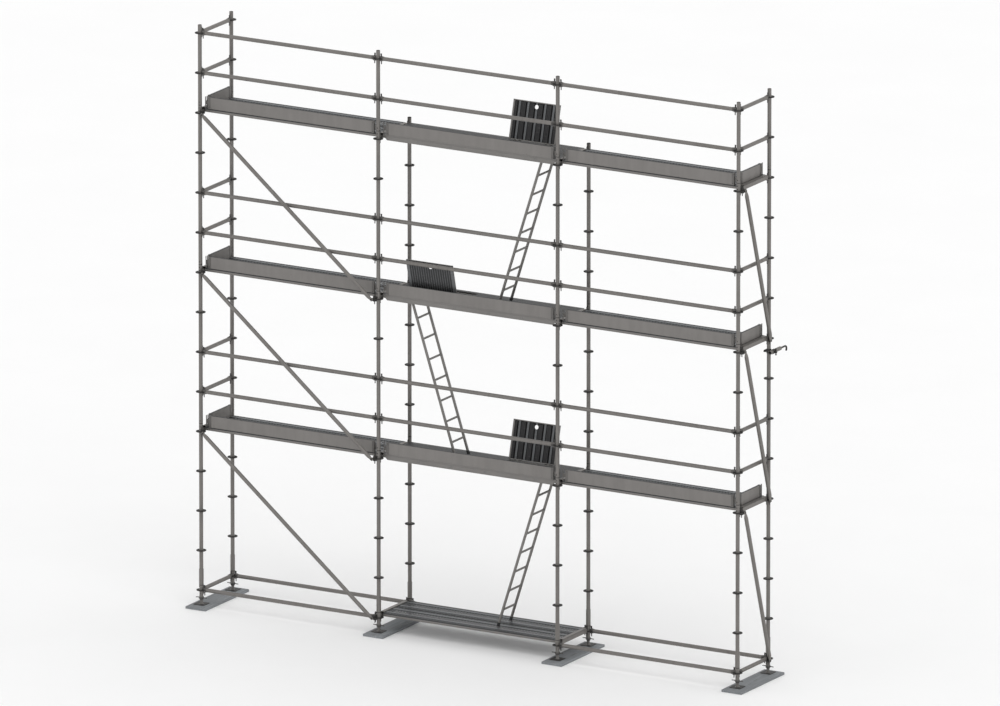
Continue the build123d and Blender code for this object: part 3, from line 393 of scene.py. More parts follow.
def galvanised(name, light, dark, dirt, metallic=0.55, rough=(0.42, 0.62), spangle=70.0, pits=0.25, marks=()):
    """Hot-dip zinc: spangle, dull clouds, run-off streaks, fine pitting, and dirty seams at given heights."""
    n = Nodes(name)
    grains = n.grey(n.cells(spangle))
    clouds = n.noise(2.3, detail=5)
    streaks = n.noise(9.0, stretch=(3.0, 3.0, 0.25), detail=6, roughness=0.65)
    fine = n.noise(420.0, detail=2)
    base = n.mix(n.span(clouds, 0.0, 1.0), rgba(dark), rgba(light))
    sparkle = n.mix(0.16, base, n.ramp(grains, (0.25, 0.45), (0.75, 1.0)), "MULTIPLY")
    worn = n.mix(n.grey(n.ramp(streaks, (0.52, 0.0), (0.78, 0.55))), sparkle, rgba(dirt))
    for height in marks:
        worn = n.mix(n.seam(height, 0.0035), worn, rgba(dirt, 0.12))
    lumps = n.bump(clouds, 0.10, 0.002)
    edges = n.bump(grains, 0.12, 0.0004, lumps)
    normal = n.bump(fine, pits, 0.0002, edges)
    rough_mix = n.span(n.grey(n.mix(0.5, n.ramp(grains, (0.2, 0.0), (0.8, 1.0)), streaks)), *rough)
    return n.finish(Base_Color=worn, Metallic=metallic, Roughness=rough_mix, Normal=normal)


def cast_steel(name, light, dark, rust):
    """Dark cast or forged steel: grainy skin, lighter knocks, a little rust."""
    n = Nodes(name)
    skin_noise = n.noise(160.0, detail=5, roughness=0.7)
    clouds = n.noise(14.0, detail=4)
    knocks = n.noise(48.0, detail=3, distortion=0.6)
    base = n.mix(clouds, rgba(dark), rgba(light))
    knocked = n.mix(n.grey(n.ramp(knocks, (0.64, 0.0), (0.72, 0.6))), base, rgba(light, 2.6))
    rusty = n.mix(n.grey(n.ramp(n.noise(31.0, detail=6), (0.6, 0.0), (0.8, 0.35))), knocked, rgba(rust))
    normal = n.bump(skin_noise, 0.35, 0.0006, n.bump(clouds, 0.2, 0.001))
    return n.finish(Base_Color=rusty, Metallic=0.45, Roughness=n.span(skin_noise, 0.45, 0.7), Normal=normal)


def sheet_metal(name, light, dark, scuff, along=(1, 1, 1)):
    """Rolled sheet: fine rolling lines, trodden patches and scuffs."""
    n = Nodes(name)
    lines = n.noise(260.0, stretch=along, detail=3, roughness=0.6)
    patches = n.noise(3.2, detail=6, roughness=0.6)
    scratches = n.noise(90.0, stretch=(along[1], along[0], 1), detail=4, distortion=0.4)
    base = n.mix(patches, rgba(dark), rgba(light))
    lined = n.mix(0.22, base, n.ramp(lines, (0.3, 0.55), (0.7, 1.0)), "MULTIPLY")
    scuffed = n.mix(n.grey(n.ramp(scratches, (0.62, 0.0), (0.7, 0.5))), lined, rgba(scuff))
    normal = n.bump(lines, 0.18, 0.0003, n.bump(patches, 0.12, 0.003))
    return n.finish(Base_Color=scuffed, Metallic=0.5, Roughness=n.span(patches, 0.38, 0.6), Normal=normal)


def painted(name, light, dark, worn):
    """Matt weathered paint with orange peel and chipped spots."""
    n = Nodes(name)
    clouds = n.noise(2.6, detail=6, roughness=0.6)
    peel = n.noise(300.0, detail=2)
    chips = n.noise(24.0, detail=7, roughness=0.7)
    run = n.noise(12.0, stretch=(1.0, 1.0, 0.2), detail=5)
    base = n.mix(clouds, rgba(dark), rgba(light))
    streaked = n.mix(0.25, base, n.ramp(run, (0.35, 0.6), (0.65, 1.0)), "MULTIPLY")
    chipped = n.mix(n.grey(n.ramp(chips, (0.66, 0.0), (0.7, 0.7))), streaked, rgba(worn))
    normal = n.bump(peel, 0.15, 0.0003, n.bump(chips, 0.15, 0.0006))
    return n.finish(Base_Color=chipped, Metallic=0.1, Roughness=n.span(clouds, 0.48, 0.68), Normal=normal)


def timber(name, pale, mid, dark):
    """Weathered softwood boards with their grain along Y, knots, checks and stains."""
    n = Nodes(name)
    warp = n.noise(2.0, stretch=(1, 0.4, 1), detail=3)
    grain = n.noise(34.0, stretch=(1.0, 0.05, 1.0), detail=8, roughness=0.62, distortion=1.6)
    rings = n.node("ShaderNodeTexWave", Vector=n.scaled((1.0, 0.05, 1.0)), Scale=11.0, Distortion=7.0,
                   Detail=3.0).outputs["Fac"]
    fibres = n.noise(420.0, stretch=(1.0, 0.02, 1.0), detail=4)
    base = n.ramp(grain, (0.25, dark), (0.5, mid), (0.75, pale))
    ringed = n.mix(0.35, base, n.ramp(rings, (0.1, 0.55), (0.9, 1.0)), "MULTIPLY")
    stained = n.mix(n.grey(n.ramp(warp, (0.35, 0.45), (0.7, 0.0))), ringed, rgba(dark))
    checks = n.ramp(n.noise(60.0, stretch=(1.0, 0.03, 1.0), detail=3), (0.66, 0.0), (0.7, 1.0))
    split = n.mix(n.grey(checks), stained, rgba(dark, 0.35))
    normal = n.bump(fibres, 0.35, 0.0006, n.bump(grain, 0.45, 0.0015))
    return n.finish(Base_Color=split, Roughness=n.span(grain, 0.7, 0.92), Normal=normal)


def rubber(name, colour):
    n = Nodes(name)
    mottling = n.noise(55.0, detail=5)
    base = n.mix(mottling, rgba(colour, 0.6), rgba(colour, 1.5))
    return n.finish(Base_Color=base, Roughness=n.span(mottling, 0.6, 0.85),
                    Normal=n.bump(n.noise(500.0), 0.2, 0.0003))


TUBE_LIGHT, TUBE_DARK, TUBE_DIRT = (0.235, 0.222, 0.210), (0.165, 0.156, 0.147), (0.115, 0.104, 0.094)
tube_zinc = galvanised("tube_zinc", TUBE_LIGHT, TUBE_DARK, TUBE_DIRT)
fitting_zinc = galvanised("fitting_zinc", (0.050, 0.048, 0.046), (0.026, 0.025, 0.024), (0.04, 0.032, 0.026),
                          metallic=0.4, rough=(0.45, 0.7), spangle=160.0, pits=0.4)
weld_metal = cast_steel("weld_metal", (0.16, 0.15, 0.14), (0.09, 0.085, 0.08), (0.14, 0.07, 0.04))
forged = cast_steel("forged_steel", (0.060, 0.057, 0.054), (0.030, 0.029, 0.028), (0.10, 0.045, 0.022))
cast_head = cast_steel("cast_head", (0.150, 0.144, 0.138), (0.060, 0.057, 0.055), (0.10, 0.06, 0.04))
deck_zinc = sheet_metal("deck_zinc", (0.225, 0.235, 0.245), (0.15, 0.158, 0.166), (0.34, 0.34, 0.34),
                        along=(0.06, 1, 1))
grip_zinc = sheet_metal("grip_zinc", (0.058, 0.061, 0.064), (0.030, 0.032, 0.034), (0.13, 0.13, 0.13),
                        along=(0.2, 1, 1))
side_zinc = sheet_metal("side_zinc", (0.235, 0.224, 0.214), (0.16, 0.152, 0.145), (0.30, 0.29, 0.28),
                        along=(0.06, 1, 1))
deck_alloy = sheet_metal("deck_alloy", (0.240, 0.231, 0.221), (0.165, 0.158, 0.151), (0.34, 0.33, 0.32),
                         along=(0.06, 1, 1))
tread_alloy = sheet_metal("tread_alloy", (0.17, 0.175, 0.18), (0.105, 0.11, 0.115), (0.32, 0.32, 0.32),
                          along=(1, 0.1, 1))
pan_alloy = sheet_metal("pan_alloy", (0.045, 0.045, 0.046), (0.022, 0.022, 0.023), (0.12, 0.12, 0.12),
                        along=(1, 0.1, 1))
shadow_alloy = sheet_metal("shadow_alloy", (0.012, 0.012, 0.012), (0.006, 0.006, 0.006), (0.03, 0.03, 0.03))
worn_tread = sheet_metal("worn_tread", (0.080, 0.080, 0.081), (0.040, 0.040, 0.041), (0.16, 0.16, 0.16),
                         along=(1, 0.1, 1))
ladder_alloy = sheet_metal("ladder_alloy", (0.25, 0.24, 0.228), (0.165, 0.158, 0.15), (0.36, 0.35, 0.34),
                           along=(1, 1, 0.05))
toe_paint = painted("toe_board_grey", (0.215, 0.205, 0.195), (0.17, 0.16, 0.152), (0.10, 0.085, 0.07))
jack_zinc = galvanised("jack_zinc", (0.24, 0.23, 0.22), (0.15, 0.143, 0.136), (0.085, 0.07, 0.058),
                       spangle=120.0)
sole_wood = timber("sole_wood", (0.33, 0.345, 0.36), (0.245, 0.26, 0.272), (0.15, 0.157, 0.163))
foot_rubber = rubber("foot_rubber", (0.022, 0.022, 0.023))
weld_alloy = cast_steel("weld_alloy", (0.22, 0.22, 0.215), (0.13, 0.13, 0.127), (0.16, 0.155, 0.15))
toe_edge = painted("toe_board_edge", (0.045, 0.048, 0.050), (0.022, 0.023, 0.024), (0.09, 0.08, 0.07))
cap_zinc = galvanised("cap_zinc", (0.20, 0.192, 0.184), (0.11, 0.105, 0.10), (0.06, 0.05, 0.042), spangle=110.0)
JOINTS = [LEVELS[0] + 0.065, *(z + 0.100 for z in LEVELS[1:])]      # where one upright stands on the next
standard_zinc = galvanised("standard_zinc", TUBE_LIGHT, TUBE_DARK, TUBE_DIRT, marks=JOINTS)

CAD_FINISH = {
    "galvanised_tube": tube_zinc, "galvanised_fitting": fitting_zinc, "wedge_steel": forged,
    "deck_steel": deck_zinc, "deck_aluminium": deck_alloy, "ladder_aluminium": ladder_alloy,
    "toe_board": toe_paint, "jack_steel": jack_zinc, "sole_timber": sole_wood,
}
NODE_FINISH = {
    "toe_board_fittings": cap_zinc, "guardrail_posts": standard_zinc, "base_collars": standard_zinc,
    "standards_lift_1": standard_zinc, "standards_lift_2": standard_zinc, "standards_lift_3": standard_zinc,
}
for part in frame["record"]["subparts"]:
    held = frame["nodes"][part["node"]].data
    held.materials.clear()
    held.materials.append(NODE_FINISH.get(part["node"], CAD_FINISH[part["material_slot"]]))

# ---- wedge heads, wedges and welds
HEAD_FACE, HEAD_END, LIP, JAW, JAW_BACK = 0.026, 0.078, 0.030, 0.005, 0.062
WEDGE_NOSE, WEDGE_BACK, WEDGE_TIP, WEDGE_T = 0.033, 0.053, 0.043, 0.006
WEDGE_TOP = 0.066
BASE_RUNS = [(b, y) for b in range(BAYS) for y in (FRONT, BACK) if b != MIDDLE or y == BACK]
rail_heads = [m for b, y in BASE_RUNS for m in both_ends_x(b, y, LEVELS[0])]
rail_heads += [m for b in range(BAYS) for z in RAIL_HEIGHTS for m in both_ends_x(b, FRONT, z)]
rail_heads += [m for x in (LEFT, RIGHT) for z in [LEVELS[0], *RAIL_HEIGHTS] for m in both_ends_y(x, z)]
transoms = [(x, z) for z in LEVELS[1:] for x in X] + [(X[MIDDLE + i], LEVELS[0]) for i in (0, 1)]
transom_heads = [m for x, z in transoms for m in both_ends_y(x, z)]


def squircle(half_y, low, high, power, steps):
    """A section across a head: square at its nose, round where the tube starts."""
    loop, mid, half_z = [], (low + high) / 2, (high - low) / 2
    for i in range(steps):
        a = 2 * math.pi * i / steps
        c, s = math.cos(a), math.sin(a)
        loop.append((half_y * math.copysign(abs(c) ** (2 / power), c),
                     mid + half_z * math.copysign(abs(s) ** (2 / power), s)))
    return loop


def lofted(stations, steps=28):
    """A skin along X through squircles, each station an x and a squircle's sizes."""
    return skin([[(x, y, z) for y, z in squircle(*sizes, steps)] for x, *sizes in stations])


def head_shape():
    """A cast head: two lips over the rosette, a slot for the wedge, a round spigot for the tube."""
    stations = (
        (HEAD_FACE, 0.0105, -LIP, LIP, 9), (HEAD_FACE + 0.010, 0.0130, -LIP, LIP + 0.002, 8),
        (0.048, 0.0170, -LIP, LIP + 0.004, 7), (0.060, 0.0195, -0.0275, LIP + 0.003, 4.5),
        (0.070, TUBE_R - 0.002, -0.0215, 0.0295, 2.6), (HEAD_END - 0.002, TUBE_R, -0.0200, 0.0280, 2),
        (HEAD_END, TUBE_R - 0.0005, -0.0196, 0.0276, 2),
    )
    jaw = bar((0.0, JAW_BACK), (-0.05, 0.05), (-JAW, JAW), edge=0.0008, corner=0.001)
    slot = bar((WEDGE_NOSE, WEDGE_BACK + 0.001), (-0.0036, 0.0036), (-0.1, 0.1), edge=0.0004, corner=0.0006)
    return carved(lofted(stations), (jaw, slot), bevel=0.0011)


def wedge_shape():
    """A drive wedge: a tapered plate with eased edges, a battered top and a rivet in its tip."""
    outline = [(WEDGE_NOSE, WEDGE_TOP), (WEDGE_NOSE + 0.003, WEDGE_TOP + 0.0005),
               (WEDGE_BACK, WEDGE_TOP), (WEDGE_BACK, -WEDGE_TOP), (WEDGE_TIP, -WEDGE_TOP)]
    plate = carved(prism_y(outline, -WEDGE_T / 2, WEDGE_T / 2), bevel=0.0009)
    rivet_place = turned("X", 90, (WEDGE_BACK - 0.005, 0, -WEDGE_TOP + 0.010))
    return joined([plate, moved(rod(0.0035, -0.0055, 0.0055, 12, 0.0010), rivet_place)])


head = head_shape()
wedge = wedge_shape()
piece("cast_wedge_heads", copies(head, rail_heads), [cast_head],
      replaces=("ledger_heads",))
piece("cast_transom_heads", copies(head, transom_heads), [cast_head],
      replaces=("transom_heads",))
piece("drive_wedges", copies(wedge, rail_heads + transom_heads), [forged],
      replaces=("wedges",))
UPPER = [at(LEFT, FRONT, z, -45) for z in LEVELS[1:]] + [at(RIGHT, FRONT, z, 45) for z in LEVELS[1:]]
LOWER = [at(X[1], FRONT, z, -135) for z in LEVELS[:-1]] + [at(RIGHT, BACK, z, -45) for z in LEVELS[:-1]]
piece("brace_drive_wedges", copies(wedge, UPPER + LOWER), [forged],
      replaces=("brace_wedges",))

TOP_RING = LIFTS * LIFT_PITCHES         # the guardrail posts have two rosettes more
ring_points = [(*p, LEVELS[0] + k * PITCH) for p in GRID for k in range(TOP_RING + 3)
               if p in TALL or k <= TOP_RING]
ring_bead = joined([weld_bead(TUBE_R, s * ROSETTE_T / 2) for s in (-1, 1)])
end_bead = moved(weld_bead(TUBE_R, 0.0), turned("Y", 90, (HEAD_END, 0, HEAD_RISE)))
piece("rosette_welds", copies(ring_bead, [at(*p) for p in ring_points]), [weld_metal])
piece("ledger_welds", copies(end_bead, rail_heads), [weld_metal])

# ---- perforated steel planks
DECK_INSET = 0.032
DECK_START, DECK_END = DECK_INSET, BAY - DECK_INSET
SHEET, BAND_RISE, BAND_MID, BAND_HALF = 0.0016, 0.0016, 0.083, 0.012
PLANK_HALF, PLANK_CORNER, PLANK_LIP = 0.160, 0.011, 0.020
PLANK_Y = (0.209, 0.541)
SHEET_TOP = DECK_TOP - BAND_RISE
CELLS = 60                              # holes in a row
# rows of holes by their distance from the middle: radius and sides of a hole
HOLES = {0.0: (0.0092, 16), 0.0393: (0.0092, 16), 0.1175: (0.0056, 8), 0.1385: (0.0056, 8)}


def plank_line():
    """Half the folded sheet from its middle to its lip: place and outward normal of each point."""
    top = [(y, SHEET_TOP + rise, 0, 1) for y, rise in (
        (0.0, 0), (0.01965, 0), (0.0393, 0), (0.05895, 0), (0.0612, BAND_RISE), (0.072, BAND_RISE),
        (0.094, BAND_RISE), (0.1048, BAND_RISE), (0.107, 0), (0.1175, 0), (0.128, 0), (0.1385, 0), (0.149, 0))]
    cy, cz = PLANK_HALF - PLANK_CORNER, SHEET_TOP - PLANK_CORNER
    for i in range(1, 5):
        a = math.pi / 2 * (1 - i / 4)
        top.append((cy + PLANK_CORNER * math.cos(a), cz + PLANK_CORNER * math.sin(a), math.cos(a), math.sin(a)))
    return top + [(PLANK_HALF, 0.021, 1, 0), (PLANK_HALF, DECK_LOW + 0.004, 1, 0),
                  (PLANK_HALF - 0.004, DECK_LOW, 0, -1), (PLANK_HALF - PLANK_LIP, DECK_LOW, 0, -1)]


def plank_finish(one, other):
    """Bright bands, dark edges and trodden sides, by where a strip of the sheet lies."""
    y, z = abs(one[0] + other[0]) / 2, (one[1] + other[1]) / 2
    if z < DECK_TOP - PLANK_CORNER:
        return 2
    return 0 if abs(y - BAND_MID) < BAND_HALF else 1


def to_ring(outer, inner):
    """Faces between eight points round a cell and a ring of eight or sixteen inside it."""
    step = len(inner) // 8
    return [(outer[j], outer[(j + 1) % 8], *[inner[(step * j + i) % len(inner)] for i in range(step, -1, -1)])
            for j in range(8)]


def plank_shape():
    """One sheet folded to a channel, with raised bands and rows of flared holes."""
    half = plank_line()
    line = [(-y, z, -ny, nz) for y, z, ny, nz in half[:0:-1]] + half
    stops = np.linspace(DECK_START, DECK_END, 2 * CELLS + 1)
    n, k = len(line), len(stops)
    points = [(x, y, z) for y, z, _, _ in line for x in stops]
    points += [(x, y - SHEET * ny, z - SHEET * nz) for y, z, ny, nz in line for x in stops]
    faces, finish, under = [], [], n * k
    rows = []
    for i in range(n - 1):
        flat = line[i][1] == line[i + 1][1] == SHEET_TOP
        if flat:
            if round(abs(line[i + 1][0]), 5) in HOLES:
                rows.append(i)
        else:
            for s in range(k - 1):
                a, b = i * k + s, (i + 1) * k + s
                faces += [(a, a + 1, b + 1, b), (under + b, under + b + 1, under + a + 1, under + a)]
                finish += [plank_finish(line[i], line[i + 1]), 1]
        for s, order in ((0, 1), (k - 1, -1)):
            a, b = i * k + s, (i + 1) * k + s
            faces.append((a, b, under + b, under + a)[::order])
            finish.append(0)
    for s in range(k - 1):
        faces.append((s, under + s, under + s + 1, s + 1))
        a = (n - 1) * k + s
        faces.append((a, a + 1, under + a + 1, under + a))
        finish += [0, 0]
    for i in rows:
        radius, sides = HOLES[round(abs(line[i + 1][0]), 5)]
        lips = ((radius + 0.0038, 0.0), (radius + 0.0010, 0.0013), (radius, -SHEET))
        for c in range(CELLS):
            s = 2 * c
            edge = [(i + 1, s + 2), (i + 2, s + 2), (i + 2, s + 1), (i + 2, s), (i + 1, s), (i, s), (i, s + 1),
                    (i, s + 2)]
            rings = []
            for r, rise in lips:
                rings.append(list(range(len(points), len(points) + sides)))
                points += [(stops[s + 1] + x, line[i + 1][0] + y, SHEET_TOP + rise)
                           for x, y in circle(r, sides)]
            made = to_ring([a * k + b for a, b in edge], rings[0])
            for outer, inner in zip(rings, rings[1:]):
                made += [(outer[j], outer[(j + 1) % sides], inner[(j + 1) % sides], inner[j])
                         for j in range(sides)]
            made += [f[::-1] for f in to_ring([under + a * k + b for a, b in edge], rings[-1])]
            faces += made
            finish += [1] * len(made)
    one = shape(points, faces)
    one["finish"] = np.array(finish, int)
    return one


plank = plank_shape()
for level, z in enumerate(LEVELS):
    bays = (MIDDLE,) if level == 0 else (MIDDLE - 1, MIDDLE + 1)
    places = [at(X[b], FRONT + y, z) for b in bays for y in PLANK_Y]
    piece(f"planks_level_{level}", copies(plank, places), [deck_zinc, grip_zinc, side_zinc],
          replaces=("steel_planks",), sharp=50)

# ---- access decks and hatches
DECK_SIDE, BEAM_W, BEAM_T, BEAM_LOW = 0.049, 0.040, 0.004, -0.020
INNER = (DECK_SIDE + BEAM_W, WIDTH - DECK_SIDE - BEAM_W)
FRAME_TOP, CROSS_LOW = DECK_TOP - 0.003, -0.005
HATCH = (1.485, 2.135)
LEAF_Y, LEAF_T, LEAF_RIM = (0.110, 0.597), 0.018, 0.022
PANS, PAN_W, PAN_GAP = 6, 0.058, 0.014      # pressed pans under a leaf, half width of the strips between
HOLE_X, HOLE_Y = (HATCH[0] - 0.003, HATCH[1] + 0.003), (0.107, 0.603)
RIB_PITCH, RIB_RISE = 0.0325, 0.0014
KNUCKLE_R = 0.006
HINGE = Vector((0, 0.600, DECK_TOP + KNUCKLE_R))
HINGE_IN, FINGER_IN = 0.110, 0.062
HINGE_X = (HATCH[0] + HINGE_IN, HATCH[1] - HINGE_IN)
RAIL_OUT, RAIL_UP, HATCH_REST = WIDTH - HINGE.y, PITCH + HEAD_RISE - HINGE.z, 0.014276
HATCH_OPEN = 90 + math.degrees(math.acos((TUBE_R + HATCH_REST - KNUCKLE_R) / math.hypot(RAIL_OUT, RAIL_UP))
                               - math.atan2(RAIL_UP, RAIL_OUT))


def ribbed(x0, x1, plain, low=FRAME_TOP, top=DECK_TOP):
    """Side view of a tread plate with ribs, plain at both ends."""
    count = int((x1 - x0 - 2 * plain) / RIB_PITCH)
    first = (x0 + x1) / 2 - (count - 1) * RIB_PITCH / 2
    outline = [(x0, low), (x1, low), (x1, top), (x1 - plain, top), (x1 - plain - 0.001, top - RIB_RISE)]
    for i in reversed(range(count)):
        x = first + i * RIB_PITCH
        outline += [(x + 0.0052, top - RIB_RISE), (x + 0.0036, top), (x - 0.0036, top),
                    (x - 0.0052, top - RIB_RISE)]
    return outline + [(x0 + plain + 0.001, top - RIB_RISE), (x0 + plain, top), (x0, top)]


def dome(radius, rise):
    """A rivet head standing on the origin."""
    return stacked([(radius * math.cos(a), rise * math.sin(a)) for a in (0, 0.5, 1.0, 1.4)], 10)


def is_tread(centre, normal):
    return normal.z > 0.9 and centre.z > DECK_TOP - 0.0002


rivet = dome(0.0052, 0.0019)
hole_cut = bar(HOLE_X, HOLE_Y, (-0.1, 0.1), edge=0.0004, corner=0.004)
panel = carved(prism_y(ribbed(DECK_START, DECK_END, 0.030), *INNER), (hole_cut,))
panel = tinted(panel, is_tread, 1)
panel_rivets = copies(finished(rivet, 1), [
    at(x, y, DECK_TOP - RIB_RISE) for y in (INNER[0] + 0.009, INNER[1] - 0.009)
    for x in np.arange(DECK_START + 0.065, DECK_END - 0.05, 0.130) if not HOLE_X[0] < x < HOLE_X[1]])
piece("deck_treads", copies(joined([panel, panel_rivets]), DECK_PLACES),
      [pan_alloy, worn_tread], replaces=("access_deck_panels",))


def groove(xs, face, depth, zs):
    """A cutter for a shallow groove in an upright face."""
    return bar(xs, (face - depth, face + depth), zs, edge=0.0002, corner=0.0003)


def deck_frame():
    """Two extruded side beams with grooved faces, cross members and the sill under the hatch."""
    slope = (0.035, 0.062)
    side = [(DECK_START, DECK_LOW), (DECK_START + slope[0], DECK_LOW), (DECK_START + slope[1], BEAM_LOW),
            (DECK_END - slope[1], BEAM_LOW), (DECK_END - slope[0], DECK_LOW), (DECK_END, DECK_LOW),
            (DECK_END, DECK_TOP), (DECK_START, DECK_TOP)]
    parts = []
    for edge, inward in ((DECK_SIDE, 1), (WIDTH - DECK_SIDE, -1)):
        web = prism_y(side, *sorted((edge, edge + inward * BEAM_T)))
        low_run = (DECK_START + slope[1], DECK_END - slope[1])
        grooves = [groove((DECK_START - 0.01, DECK_END + 0.01), edge, 0.0014, (z, z + 0.0026))
                   for z in (0.0378, 0.0300)]
        grooves.append(groove(low_run, edge, 0.0012, (-0.0125, -0.0100)))
        parts.append(carved(web, grooves, bevel=0.0005, segments=1))
        flange = sorted((edge + inward * 0.002, edge + inward * BEAM_W))
        parts.append(bar((DECK_START, DECK_END), flange, (DECK_TOP - BEAM_T, DECK_TOP), corner=0.0012))
        parts.append(bar(low_run, flange, (BEAM_LOW, BEAM_LOW + BEAM_T), corner=0.0012))
    for x in (DECK_START, DECK_END - BEAM_W):
        parts.append(bar((x, x + BEAM_W), INNER, (DECK_LOW, FRAME_TOP)))
    free = HOLE_X[0] - BEAM_W - DECK_START - BEAM_W
    thirds = [DECK_START + BEAM_W + free * i / 3 for i in (1, 2)]
    for x in (HOLE_X[0] - BEAM_W / 2, HOLE_X[1] + BEAM_W / 2, *thirds):
        parts.append(bar((x - BEAM_W / 2, x + BEAM_W / 2), INNER, (CROSS_LOW, FRAME_TOP), corner=0.004))
        for y, turn in ((DECK_SIDE, 90), (WIDTH - DECK_SIDE, -90)):
            heads = [turned("X", turn, (x + dx, y, z)) for dx in (-0.012, 0.012) for z in (0.004, 0.020)]
            parts.append(copies(finished(rivet, 1), heads))
    parts.append(bar(HOLE_X, (HOLE_Y[0] - 0.012, HOLE_Y[0] + 0.012), (CROSS_LOW, DECK_TOP - 0.0185)))
    return tinted(joined(parts), lambda c, n: n.z > 0.9 and c.z > DECK_TOP - 0.001, 2)


piece("deck_frames", copies(deck_frame(), DECK_PLACES), [deck_alloy, tread_alloy, worn_tread],
      replaces=("access_deck_frames",))


def leaf_shape():
    """A hatch leaf: ribbed tread, pressed pans and light stiffeners below, a finger hole, two knuckles."""
    finger = (HATCH[0] + HATCH[1]) / 2, LEAF_Y[0] + FINGER_IN
    cut = moved(rod(0.028, -0.2, 0.2, 28), at(*finger, 0))
    tread = carved(prism_y(ribbed(*HATCH, 0.040), *LEAF_Y), (cut,))
    tread = tinted(tinted(tread, is_tread, 2), lambda c, n: n.z < -0.9, 3)
    parts, low = [tread], DECK_TOP - LEAF_T
    pitch, half = (HATCH[1] - HATCH[0] - PAN_W) / (PANS - 1), PAN_W / 2
    for i in range(PANS):
        x = HATCH[0] + half + i * pitch
        xs = (max(x - half, HATCH[0] + LEAF_RIM), min(x + half, HATCH[1] - LEAF_RIM))
        pan = bar(xs, (LEAF_Y[0] + LEAF_RIM, LEAF_Y[1] - 0.012), (low, FRAME_TOP), edge=0.0025, corner=0.004)
        creases = [bar((x + dx - 0.002, x + dx + 0.002), (LEAF_Y[0] + 0.03, LEAF_Y[1] - 0.03),
                       (low - 0.01, low + 0.002), edge=0.0002, corner=0.0005) for dx in (-0.010, 0.010)]
        parts.append(carved(pan, creases))
        if i < PANS - 1:
            mid = x + pitch / 2
            strip = bar((mid - PAN_GAP, mid + PAN_GAP), (LEAF_Y[0] + 0.010, LEAF_Y[1] - 0.010),
                        (low + 0.009, FRAME_TOP), edge=0.0012)
            parts.append(finished(carved(strip, (cut,)) if i == 2 else strip, 2))
    for xs, ys in (((HATCH[0], HATCH[0] + LEAF_RIM), LEAF_Y), ((HATCH[1] - LEAF_RIM, HATCH[1]), LEAF_Y),
                   (HATCH, (LEAF_Y[0], LEAF_Y[0] + 0.012)), (HATCH, (LEAF_Y[1] - 0.010, LEAF_Y[1]))):
        parts.append(bar(xs, ys, (low, FRAME_TOP), edge=0.001, finish=1))
    collar = lathe([(0.031, 0.034), (0.034, 0.037), (0.034, FRAME_TOP), (0.0276, FRAME_TOP), (0.0276, 0.034)],
                   28)
    parts.append(moved(collar, at(*finger, 0)))
    for x in HINGE_X:
        parts.append(moved(pipe(KNUCKLE_R, 0.0018, -0.015, 0.015, 20, finish=1),
                           turned("Y", 90, (x, HINGE.y, HINGE.z))))
        parts.append(bar((x - 0.015, x + 0.015), (HINGE.y - 0.024, HINGE.y - 0.003),
                         (DECK_TOP, DECK_TOP + 0.0025), edge=0.0006, finish=1))
        screws = [at(x + dx, HINGE.y - 0.015, DECK_TOP + 0.0025) for dx in (-0.009, 0.009)]
        parts.append(copies(finished(dome(0.003, 0.0012), 1), screws))
    return joined(parts)


leaf = leaf_shape()
swing = turned("X", -HATCH_OPEN, HINGE) @ Matrix.Translation(-HINGE)
for i, place in enumerate(DECK_PLACES, start=1):
    piece(f"hatch_leaf_{i}", moved(leaf, place @ swing), [pan_alloy, deck_alloy, tread_alloy, shadow_alloy],
          body=f"hatch_leaf_{i}", replaces=(f"hatch_{i}",))

# ---- ladders
LADDER_X, LADDER_DROP, LADDER_LEAN, LADDER_L, LADDER_HEAD = 2.158, 0.030, 17.8, 2.0127, 0.016
STILE_R, STILE_WALL, STILE_HALF, RUNG_R = 0.017, 0.002, 0.1525, 0.013
FIRST_RUNG, RUNG_STEP, RUNGS, FLUTES = 0.222, 0.261, 7, 20


def ladder_shape():
    """Two stiles with rubber boots and plugs, fluted rungs welded between them."""
    boot = lathe([(0.0172, 0.046), (0.0182, 0.050), (0.0195, 0.046), (0.0195, 0.012), (0.0186, 0.010),
                  (0.0195, 0.008), (0.0195, 0.002), (0.0185, 0.0), (0.004, 0.0), (0.004, 0.046)], 28, finish=1)
    plug = stacked(((0.0146, -0.012), (0.0168, 0.0), (0.0168, 0.0012), (0.012, 0.0030)), 24, finish=1)
    parts = []
    for y in (-STILE_HALF, STILE_HALF):
        stile = pipe(STILE_R, STILE_WALL, 0.012 - LADDER_L, LADDER_HEAD - 0.001, 28)
        parts += [moved(s, at(0, y, z)) for s, z in (
            (stile, 0), (boot, -LADDER_L), (plug, LADDER_HEAD - 0.001))]
    span = STILE_HALF - 0.6 * STILE_R
    flutes = []
    for i in range(FLUTES):
        for share, r in ((0.0, RUNG_R), (0.38, RUNG_R), (0.5, RUNG_R - 0.0011), (0.88, RUNG_R - 0.0011)):
            a = 2 * math.pi * (i + share) / FLUTES
            flutes.append((r * math.cos(a), r * math.sin(a)))
    rung = skin([[(x, y, z) for x, y in flutes] for z in (-span, span)])
    bead = weld_bead(RUNG_R, 0.0, size=0.0026, steps=24)
    for i in range(RUNGS):
        middle = turned("X", 90, (0, 0, FIRST_RUNG - LADDER_L + i * RUNG_STEP))
        parts.append(moved(rung, middle))
        for side in (-1, 1):
            parts.append(finished(moved(bead, middle @ at(0, 0, side * (STILE_HALF - STILE_R))), 2))
    return moved(joined(parts), turned("Y", LADDER_LEAN, (LADDER_X, WIDTH / 2, -LADDER_DROP)))


ladder = ladder_shape()
for i, place in enumerate(DECK_PLACES, start=1):
    piece(f"ladder_unit_{i}", moved(ladder, place), [ladder_alloy, foot_rubber, weld_alloy],
          body=f"ladder_unit_{i}", replaces=(f"ladder_{i}",))

